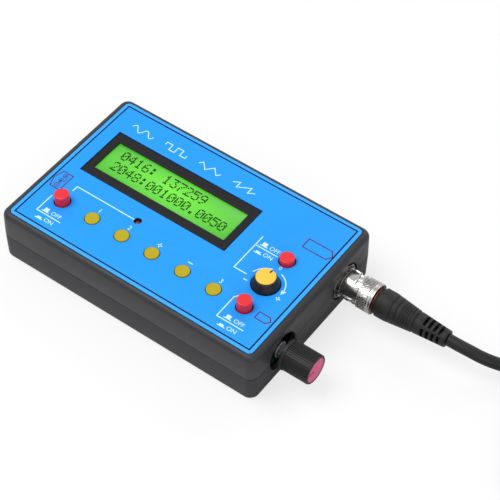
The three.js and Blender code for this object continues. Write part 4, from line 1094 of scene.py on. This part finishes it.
def keys():
    """One dished key is modelled and copied."""
    low, high = extent(KEYS[0])
    flange = (high.x - low.x) / 2
    profile = [
        (0, low.z), (KEY_STEM, low.z), (KEY_STEM, KEY_FLANGE_BOTTOM), (flange, KEY_FLANGE_BOTTOM),
        (flange, KEY_FLANGE_TOP), (KEY_RADIUS, KEY_FLANGE_TOP), (KEY_RADIUS, high.z),
        (KEY_RADIUS - KEY_RIM, high.z), (KEY_RADIUS - KEY_RIM - 0.2, high.z - KEY_DISH),
        (0, high.z - KEY_DISH),
    ]
    pieces = copies(turned("key", eased(profile, 0.2), sides=64), [upon(node) for node in KEYS])
    for node, piece in zip(KEYS, pieces):
        piece.name = f"{node}_cap"
        done(piece, key_plastic, f"{node}_body", [node])


def lamp():
    low, high = extent("indicator_lamp")
    body_bottom = high.z - LAMP_BODY
    dome = [
        (LAMP_RADIUS * math.cos(turn), high.z - LAMP_RADIUS + LAMP_RADIUS * math.sin(turn))
        for turn in map(math.radians, range(0, 90, 10))
    ]
    profile = [(0, body_bottom), (LAMP_RADIUS, body_bottom), *dome, (0, high.z)]
    place = upon("indicator_lamp")
    piece = turned("lamp_lens", profile, place, 48)
    leg_top = body_bottom + 1
    for x in (-LEG_SPREAD, LEG_SPREAD):
        corners = [(x - LEG_HALF, -LEG_HALF, low.z), (x + LEG_HALF, LEG_HALF, leg_top)]
        fuse(piece, block("leg", *corners, place))
    return done(piece, lamp_lens, stands_for=["indicator_lamp"])


push_buttons()
keys()
lamp()

# Knobs; the level knob's lengths run outward from its place inside the port
POINTER_WIDTH = 0.8
POINTER_LENGTH = 1.7
OFFSET_POINTER = math.radians(84)
OFFSET_TOP_RADIUS = 4.2
OFFSET_FOOT = 0.6
SHAFT_BORE = 3.3
OFFSET_BORE_DEPTH = 5.3
CAP_CUT_EDGE = 0.06
LEVEL_POINTER = math.radians(75)
LEVEL_POINTER_START = 0.9
LEVEL_START = 1.9
LEVEL_SKIRT = (6.6, 1.6)
LEVEL_RADIUS = 5.9
LEVEL_GRIP = (6.25, 0.32, 44)
LEVEL_TIP = (6, 5.45)
LEVEL_CAP_RADIUS = 5.25
LEVEL_RECESS = (5.35, 1)
LEVEL_BORE_END = 4.7


def pointed(cap, start, width, end, bottom, top, place):
    """Cuts a cap's pointer line."""
    carve(cap, block("notch", (start, -width / 2, bottom), (end, width / 2, top), place))
    return bevelled(cap, CAP_CUT_EDGE, 2, 40)


def offset_knob():
    low, high = extent("offset_knob")
    place = upon("offset_knob")
    radius = (high.x - low.x) / 2
    profile = [
        (0, low.z), (radius, low.z), (radius, LABEL_TOP + OFFSET_FOOT),
        (OFFSET_TOP_RADIUS, high.z), (0, high.z),
    ]
    piece = turned("offset_dial", eased(profile, 0.35), place)
    carve(piece, rod("bore", SHAFT_BORE, low.z - OVERRUN, low.z + OFFSET_BORE_DEPTH, place, 48))
    done(piece, knob_plastic, "offset_knob_body", ["offset_knob"])
    low, high = extent("offset_knob_cap")
    radius = (high.x - low.x) / 2
    cap = turned("offset_dial_cap", eased(drum(radius, low.z, high.z), 0.3, 4), place)
    turn = place @ Matrix.Rotation(OFFSET_POINTER, 4, "Z")
    line = [radius - POINTER_LENGTH, POINTER_WIDTH, radius + OVERRUN]
    pointed(cap, *line, low.z - OVERRUN, high.z + OVERRUN, turn)
    done(cap, amber_plastic, "offset_knob_body", ["offset_knob_cap"])


def level_knob():
    low, high = extent("level_knob")
    start = LEVEL_START
    place = toward_output(low.x - start, LEVEL_Y)
    end = start + high.x - low.x
    flange, rise = LEVEL_SKIRT
    profile = [
        (0, start), (flange, start), (flange, start + rise), (LEVEL_RADIUS, start + rise),
        (LEVEL_RADIUS, end - 0.4), (0, end - 0.4),
    ]
    skirt = turned("level_dial", eased(profile, 0.3), place)
    grip = extruded("grip", toothed(*LEVEL_GRIP), start + 1, end - 0.55, place)
    outer, inner = LEVEL_TIP
    profile = [(0, end - 1.6), (outer, end - 1.6), (outer, end), (inner, end), (0, end)]
    fuse(skirt, grip, turned("tip", eased(profile, 0.25), place))
    radius, depth = LEVEL_RECESS
    carve(
        skirt,
        rod("recess", radius, end - depth, end + OVERRUN, place, 96),
        rod("bore", SHAFT_BORE, start - OVERRUN, end - LEVEL_BORE_END, place, 48),
    )
    bevelled(skirt, 0.07, 2, 40)
    done(skirt, knob_plastic, "level_knob_body", ["level_knob"])
    low, high = extent("level_knob_cap")
    back, front = low.x - place.translation.x, high.x - place.translation.x
    radius = LEVEL_CAP_RADIUS
    cap = turned("level_dial_cap", eased(drum(radius, back, front), 0.15), place)
    turn = place @ Matrix.Rotation(LEVEL_POINTER, 4, "Z")
    line = [LEVEL_POINTER_START, LINE_WIDTH, radius + OVERRUN]
    pointed(cap, *line, back - OVERRUN, front + OVERRUN, turn)
    done(cap, pink_plastic, "level_knob_body", ["level_knob_cap"])


offset_knob()
level_knob()

# Output jack and bayonet plugs; lengths run from the coupling nut's rim towards the lead, and a
# profile's points are a radius and such a length
NUT_RIM = extent("coupling_nut")[0].x
LUG_DISTANCE = 6.2
LUG_ANGLE = 20
LUG_RADIUS = 1
LUG_REACH = (4.4, 5.5)
SLOT_TURN = 90
SLOT_STEPS = 12
SLOT_HALF_WIDTH = 1.05
SLOT_BOTTOM = 2.4
FOOT_SHARE = 1.2
ENTRY_SHARE = 1.25
NUT_TRAVEL = 1.5
NUT_LENGTH = 14.2
NUT_BORE = 5.1
NUT_PROFILE = [
    (NUT_BORE, 0), (5.65, 0), (5.65, 7.2), (6, 7.5), (6, 12.3), (6.6, 12.3), (6.6, 12.95),
    (6.35, 13.1), (6.35, 13.4), (6.6, 13.55), (6.6, NUT_LENGTH), (6.15, NUT_LENGTH),
    (6.15, NUT_LENGTH - 1.6), (NUT_BORE, NUT_LENGTH - 1.6),
]
KNURL_TEETH = (6.5, 0.36, 48, 0.36)
KNURL_SPAN = (8, 11.8)
KNURL_TWIST = math.radians(12)
KNURL_STEPS = 6
EAR_HALF_WIDTH = 1.6
EAR_RADIUS = 6.2
EAR_START = 0.6
PLUG_PROFILE = [
    (0, 1), (0.5, 1), (0.5, 8.4), (2.6, 8.4), (2.6, 1.4), (3.8, 1.4), (3.8, 8.4), (4.75, 8.4),
    (4.75, 9.9), (3.9, 9.9), (3.9, 14), (4.4, 14), (4.4, 21), (0, 21),
]
GASKET_PROFILE = [(4.7, 14.5), (5.55, 14.5), (5.55, 14.9), (4.7, 14.9)]
BOOT_COLLAR = [(4.7, 15.3), (5.4, 15.3), (5.4, 16.2), (6.05, 16.2), (6.05, 20)]
BOOT_RINGS = (21.9, 24.3, 26.4, 27.4, 28.4, 29.4, 30.4)
BOOT_RELIEF = [
    (4.6, 31.9), (4.15, 32.1), (4.15, 32.5), (4.5, 32.7), (3.5, BOOT_LENGTH), (0, BOOT_LENGTH),
    (0, 21.3), (4.7, 21.3),
]
GRIP_SPAN = (20, 32.8)
GRIP_RADII = (6.05, 4.6)
RING_DEPTH = 0.3
RELIEF_START = 35.8
RELIEF_PITCH = 2.3
RELIEF_WIDTH = 1.25
RELIEF_HALF = 2.4
RELIEF_CORE = 1.4
RELIEF_REACH = 7
JACK_FACE = 0.6 - (NUT_RIM - CASE_WIDTH / 2)
JACK_TIP = JACK_FACE + 8.1
JACK_NECK = 6.3
JACK_BARREL = 4.8
JACK_BORE = 4.1
JACK_POST = 2.2
JACK_SOCKET = (0.8, 7.5)
JACK_BLOCK = (6.5, 7.25, 14)
WRENCH_FLAT = 7.1
JACK_NUT_RADIUS = 8.05
JACK_NUT_BORE = 6.6
WASHER_RADIUS = 7.8
plug_place = toward_output(NUT_RIM, OUTPUT_Y)
far_rim = coil_points[-1] + (JOIN_GAP + BOOT_LENGTH) * coil_exit
far_place = framed(far_rim, UP, -coil_exit)


def radial(place, angle, distance):
    """A place on a plug's axis that looks outward at an angle, in degrees."""
    turn = math.radians(angle)
    return place @ framed((0, 0, distance), UP, (math.cos(turn), math.sin(turn), 0))


def curved_band(place, path, half_width, inner, outer):
    """A band wrapped round the nut, along a path of arc length and distance."""
    middle = (inner + outer) / 2
    band = ribbon(path, 2 * half_width)
    for vertex in band.data.vertices:
        angle = vertex.co.x / EAR_RADIUS
        vertex.co = (middle * math.cos(angle), middle * math.sin(angle), vertex.co.y)
    apply_modifier(band, "SOLIDIFY", thickness=outer - inner, offset=0)
    editing(band, "VERT")
    face_outward()
    band.data.transform(place)
    return band


def slot_parts(place, side, half_width, inner, outer, mouth):
    """A bayonet slot's ramp, its wider straight entry and its round detent."""
    detent = Vector((EAR_RADIUS * math.radians(LUG_ANGLE + side), LUG_DISTANCE))
    foot = detent - Vector((EAR_RADIUS * math.radians(SLOT_TURN), NUT_TRAVEL))
    end = foot + (foot - detent).normalized() * half_width * FOOT_SHARE
    ramp = [detent.lerp(end, k / SLOT_STEPS) for k in range(SLOT_STEPS + 1)]
    entry = [(foot.x, mouth), (foot.x, foot.y + half_width / 2)]
    turn = radial(place, LUG_ANGLE + side, LUG_DISTANCE)
    return [
        curved_band(place, ramp, half_width, inner, outer),
        curved_band(place, entry, half_width * ENTRY_SHARE, inner, outer - 0.04),
        rod("detent", half_width + 0.08, inner, outer + 0.1, turn, 48),
    ]


def coupling_nut(place):
    piece = turned("nut", eased(NUT_PROFILE, 0.12, closed=True), place, 128, closed=True)
    twist = [KNURL_TWIST, KNURL_STEPS]
    knurl = extruded("knurl", toothed(*KNURL_TEETH), *KNURL_SPAN, place, *twist)
    carve(knurl, rod("room", 5.5, 7, 12.4, place, 96))
    raised, cuts = [], []
    for side in (0, 180):
        raised += slot_parts(place, side, EAR_HALF_WIDTH, NUT_BORE + 0.2, EAR_RADIUS, EAR_START)
        cuts += slot_parts(
            place, side, SLOT_HALF_WIDTH, SLOT_BOTTOM, EAR_RADIUS + OVERRUN, -OVERRUN
        )
    fuse(piece, knurl, *raised)
    for tool in cuts:
        carve(piece, tool)
    return bevelled(piece, 0.07, 2, 40)


def boot(place):
    """Moulded boot: a smooth grip with fine rings, then a stepped and slotted strain relief."""
    def grip(distance):
        (start, end), (wide, narrow) = GRIP_SPAN, GRIP_RADII
        return wide + (narrow - wide) * (distance - start) / (end - start)

    profile = [*BOOT_COLLAR]
    for ring in BOOT_RINGS:
        bottom = grip(ring) - RING_DEPTH
        profile += [(grip(ring), ring), (bottom, ring + 0.12), (bottom, ring + 0.38)]
        profile.append((grip(ring + 0.5), ring + 0.5))
    piece = turned("boot", eased([*profile, *BOOT_RELIEF], 0.12, 2), place, closed=True)
    tools = []
    for i in range(4):
        start = RELIEF_START + RELIEF_PITCH * i
        end = start + RELIEF_WIDTH
        for side in (-1, 1):
            low, high = sorted((side * RELIEF_CORE, side * RELIEF_REACH))
            for corners in (
                [(low, -RELIEF_HALF, start), (high, RELIEF_HALF, end)],
                [(-RELIEF_HALF, low, start), (RELIEF_HALF, high, end)],
            ):
                tools.append(block("relief", *corners, place))
    carve(piece, *tools)
    return bevelled(piece, 0.1, 2, 40)


def plug(place, end, nut_body):
    """A plug with its nut, gasket and boot; end goes before the names of its pieces."""
    nut = coupling_nut(place)
    shell = turned("plug", eased(PLUG_PROFILE, 0.08, 2), place, 64)
    ring = turned("ring", eased(GASKET_PROFILE, 0.12, closed=True), place, closed=True)
    pieces = [
        (nut, "bayonet_nut", nickel, "plated_metal", nut_body, "coupling_nut"),
        (shell, "bayonet_plug", nickel, "plated_metal", "root", "plug_body"),
        (ring, "copper_ring", copper, "copper", "root", "plug_gasket"),
        (boot(place), "boot", rubber, "cable_rubber", "root", "plug_boot"),
    ]
    for piece, name, look, slot, body, node in pieces:
        piece.name = end + name
        done(piece, look, body, [end + node])
    return [row[0] for row in pieces]


def output_jack():
    half_width, half_height, depth = JACK_BLOCK
    back = CASE_WIDTH / 2 - CASE_DRAFT - CASE_WALL - FIT - NUT_RIM
    low, high = (-half_width, -half_height, back - depth), (half_width, half_height, back)
    base = bevelled(block("output_socket", low, high, plug_place), 0.4, 3)
    neck = turned("neck", drum(JACK_NECK, back - 1, JACK_FACE), plug_place)
    start = JACK_FACE - 1
    barrel = turned("barrel", eased(drum(JACK_BARREL, start, JACK_TIP), 0.2), plug_place)
    spots = [radial(plug_place, LUG_ANGLE + side, LUG_DISTANCE) for side in (0, 180)]
    fuse(base, neck, barrel, *[rod("lug", LUG_RADIUS, *LUG_REACH, spot, 32) for spot in spots])
    carve(base, rod("bore", JACK_BORE, JACK_FACE, JACK_TIP + OVERRUN, plug_place, 64))
    fuse(base, rod("post", JACK_POST, start, JACK_TIP - 1, plug_place, 48))
    radius, depth = JACK_SOCKET
    carve(base, rod("socket", radius, JACK_TIP - depth, JACK_TIP, plug_place, 24))
    return done(base, nickel, stands_for=["output_jack"])


def jack_nut():
    """A hexagon nut whose corners are turned off at its front."""
    low, high = extent("jack_nut")
    start, end = low.x - NUT_RIM, high.x - NUT_RIM
    outline = arc(0, 0, WRENCH_FLAT / math.cos(math.pi / 6), 0, 300, 5)
    piece = extruded("socket_nut", outline, start, end, plug_place)
    radius = JACK_NUT_RADIUS
    profile = [(0, start), (radius, start), (radius, end - 0.7), (WRENCH_FLAT, end), (0, end)]
    carve(piece, turned("dome", eased(profile, 0.2), plug_place), operation="INTERSECT")
    carve(piece, rod("bore", JACK_NUT_BORE, start - OVERRUN, end + OVERRUN, plug_place, 64))
    bevelled(piece, 0.12, 2, 40)
    return done(piece, dull_nickel, stands_for=["jack_nut"])


def washer():
    low, high = extent("jack_washer")
    start, end = low.x - NUT_RIM, high.x - NUT_RIM
    inner, outer = JACK_NUT_BORE, WASHER_RADIUS
    profile = [(inner, start), (outer, start), (outer, end), (inner, end)]
    piece = turned("socket_washer", eased(profile, 0.15, closed=True), plug_place, closed=True)
    return done(piece, dull_nickel, stands_for=["jack_washer"])


def coil_tie():
    """A flat band round the bundle of turns."""
    inner_turn = COIL_MID_RADIUS - COIL_PITCH * COIL_TURNS / 4 - LEAD_RADIUS - FIT
    inner = math.sqrt(inner_turn ** 2 - (TIE_WIDTH / 2) ** 2)
    outer = COIL_MID_RADIUS + COIL_PITCH * COIL_TURNS / 4 + LEAD_RADIUS + FIT
    height = 2 * LEAD_RADIUS + COIL_RISE + 2 * FIT
    outward = Vector((math.cos(TIE_ANGLE), math.sin(TIE_ANGLE), 0))
    middle = Vector((*COIL_CENTRE, TIE_THICKNESS + height / 2)) + outward * (inner + outer) / 2
    place = framed(middle, outward, UP.cross(outward))
    reach, half = outer - inner, TIE_WIDTH / 2
    size = [reach + 2 * TIE_THICKNESS, height + 2 * TIE_THICKNESS, TIE_CORNER]
    band = rounded_slab("coil_band", *size, -half, half, place)
    room = [reach, height, TIE_CORNER - TIE_THICKNESS]
    carve(band, rounded_slab("room", *room, -half - OVERRUN, half + OVERRUN, place))
    bevelled(band, 0.12, 2, 40)
    return done(band, part_black, stands_for=["coil_tie"])


output_jack()
jack_nut()
washer()
near_end = plug(plug_place, "", "coupling_nut_body")
far_end = plug(far_place, "far_", "far_nut_body")
lead_pieces = [*near_end, *far_end, coil_tie(), frame["nodes"]["thrust_ring"]]

# Case screws, with crossed slots
SCREW_HEAD_PROFILE = [(0, 0), (1.9, 0), (2.5, 0.9), (2.5, 1.8), (1.3, 1.8)]
SCREW_RADIUS = 1.3
SCREW_CORE = 1.05
SCREW_TIP = (0.9, 0.6)
THREAD_START = 2.4
THREAD_PITCH = 0.8
THREAD_TURNS = 14
SLOT_SIZE = (1.5, 0.35)


def case_screws():
    """One screw is modelled and copied."""
    low, high = extent(SCREWS[0])
    length = high.z - low.z
    profile = [*SCREW_HEAD_PROFILE]
    for turn in range(THREAD_TURNS):
        start = THREAD_START + turn * THREAD_PITCH
        profile += [(SCREW_CORE, start), (SCREW_RADIUS, start + THREAD_PITCH / 2)]
    profile += [(SCREW_TIP[0], length - SCREW_TIP[1]), (0, length)]
    model = turned("screw", profile, sides=32)
    for size in (SLOT_SIZE, SLOT_SIZE[::-1]):
        carve(model, block("slot", (-size[0], -size[1], -OVERRUN), (*size, 1)))
    for node, piece in zip(SCREWS, copies(model, [upon(screw, low.z) for screw in SCREWS])):
        piece.name = node.replace("case_screw", "screw")
        done(piece, zinc, stands_for=[node])


case_screws()

# Nodes of the part that stay as they are, with their materials
KEPT_LOOKS = {
    "board": solder_mask_painted_shade,
    "black_parts": part_black,
    "white_parts": part_white,
    "zinc": zinc,
}


def dress_kept_nodes():
    for subpart in frame["record"]["subparts"]:
        look = KEPT_LOOKS.get(subpart["material_slot"])
        node = frame["nodes"][subpart["node"]]
        if look and node.material_slots:
            node.material_slots[0].material = look


dress_kept_nodes()

# Studio: a pale floor, soft lamps and a white surround
FLOOR_SIZE = 6
PAPER = (0.9, 0.9, 0.9, 1)
WHITE = (1, 1, 1, 1)
FLOOR_WHITENESS = 0.7
SOFT_LIGHT = 0.45
LAMP_AIM = Vector((0, 0, 0.01))
LAMPS = [
    ("key", (-0.35, -0.25, 0.95), 0.7, 7.0),
    ("fill", (0.75, -0.55, 0.55), 0.6, 2.6),
    ("back", (0.1, 0.9, 0.7), 0.6, 2.4),
]


def lay_floor():
    bpy.ops.mesh.primitive_plane_add(size=FLOOR_SIZE)
    floor = added("floor")
    look, start, _ = new_look("floor")
    seen = start.node("ShaderNodeLightPath", out="Is Camera Ray")
    white = start.node("ShaderNodeEmission", None, {"Color": WHITE, "Strength": 1})
    paper = start.node("ShaderNodeBsdfDiffuse", None, {"Color": PAPER})
    shown = start.node("ShaderNodeMixShader", None, {0: seen * FLOOR_WHITENESS, 1: paper, 2: white})
    start.node("ShaderNodeOutputMaterial", None, {"Surface": shown})
    floor.data.materials.append(look)


def hang_lamps():
    for name, spot, size, power in LAMPS:
        lamp_data = bpy.data.lights.new(name, "AREA")
        lamp_data.size = size
        lamp_data.energy = power
        light = bpy.data.objects.new(name, lamp_data)
        turn = (Vector(spot) - LAMP_AIM).to_track_quat("Z", "Y").to_matrix().to_4x4()
        light.matrix_world = Matrix.Translation(spot) @ turn
        bpy.context.collection.objects.link(light)


def surround():
    """White where it is seen or mirrored, and softer as a light."""
    world = bpy.data.worlds.new("surround")
    world.use_nodes = True
    world.node_tree.nodes.clear()
    sky = Tone(world.node_tree)
    rays = ("Is Camera Ray", "Is Glossy Ray", "Is Transmission Ray")
    camera, glossy, clear = [sky.node("ShaderNodeLightPath", out=ray) for ray in rays]
    share = sky.math("MINIMUM", camera + glossy + clear, 1)
    soft, bright = [
        sky.node("ShaderNodeBackground", None, {"Color": WHITE, "Strength": strength})
        for strength in (SOFT_LIGHT, 1)
    ]
    both = sky.node("ShaderNodeMixShader", None, {0: share, 1: soft, 2: bright})
    sky.node("ShaderNodeOutputWorld", None, {"Surface": both})
    bpy.context.scene.world = world


lay_floor()
hang_lamps()
surround()
bpy.context.scene.view_settings.view_transform = "Standard"
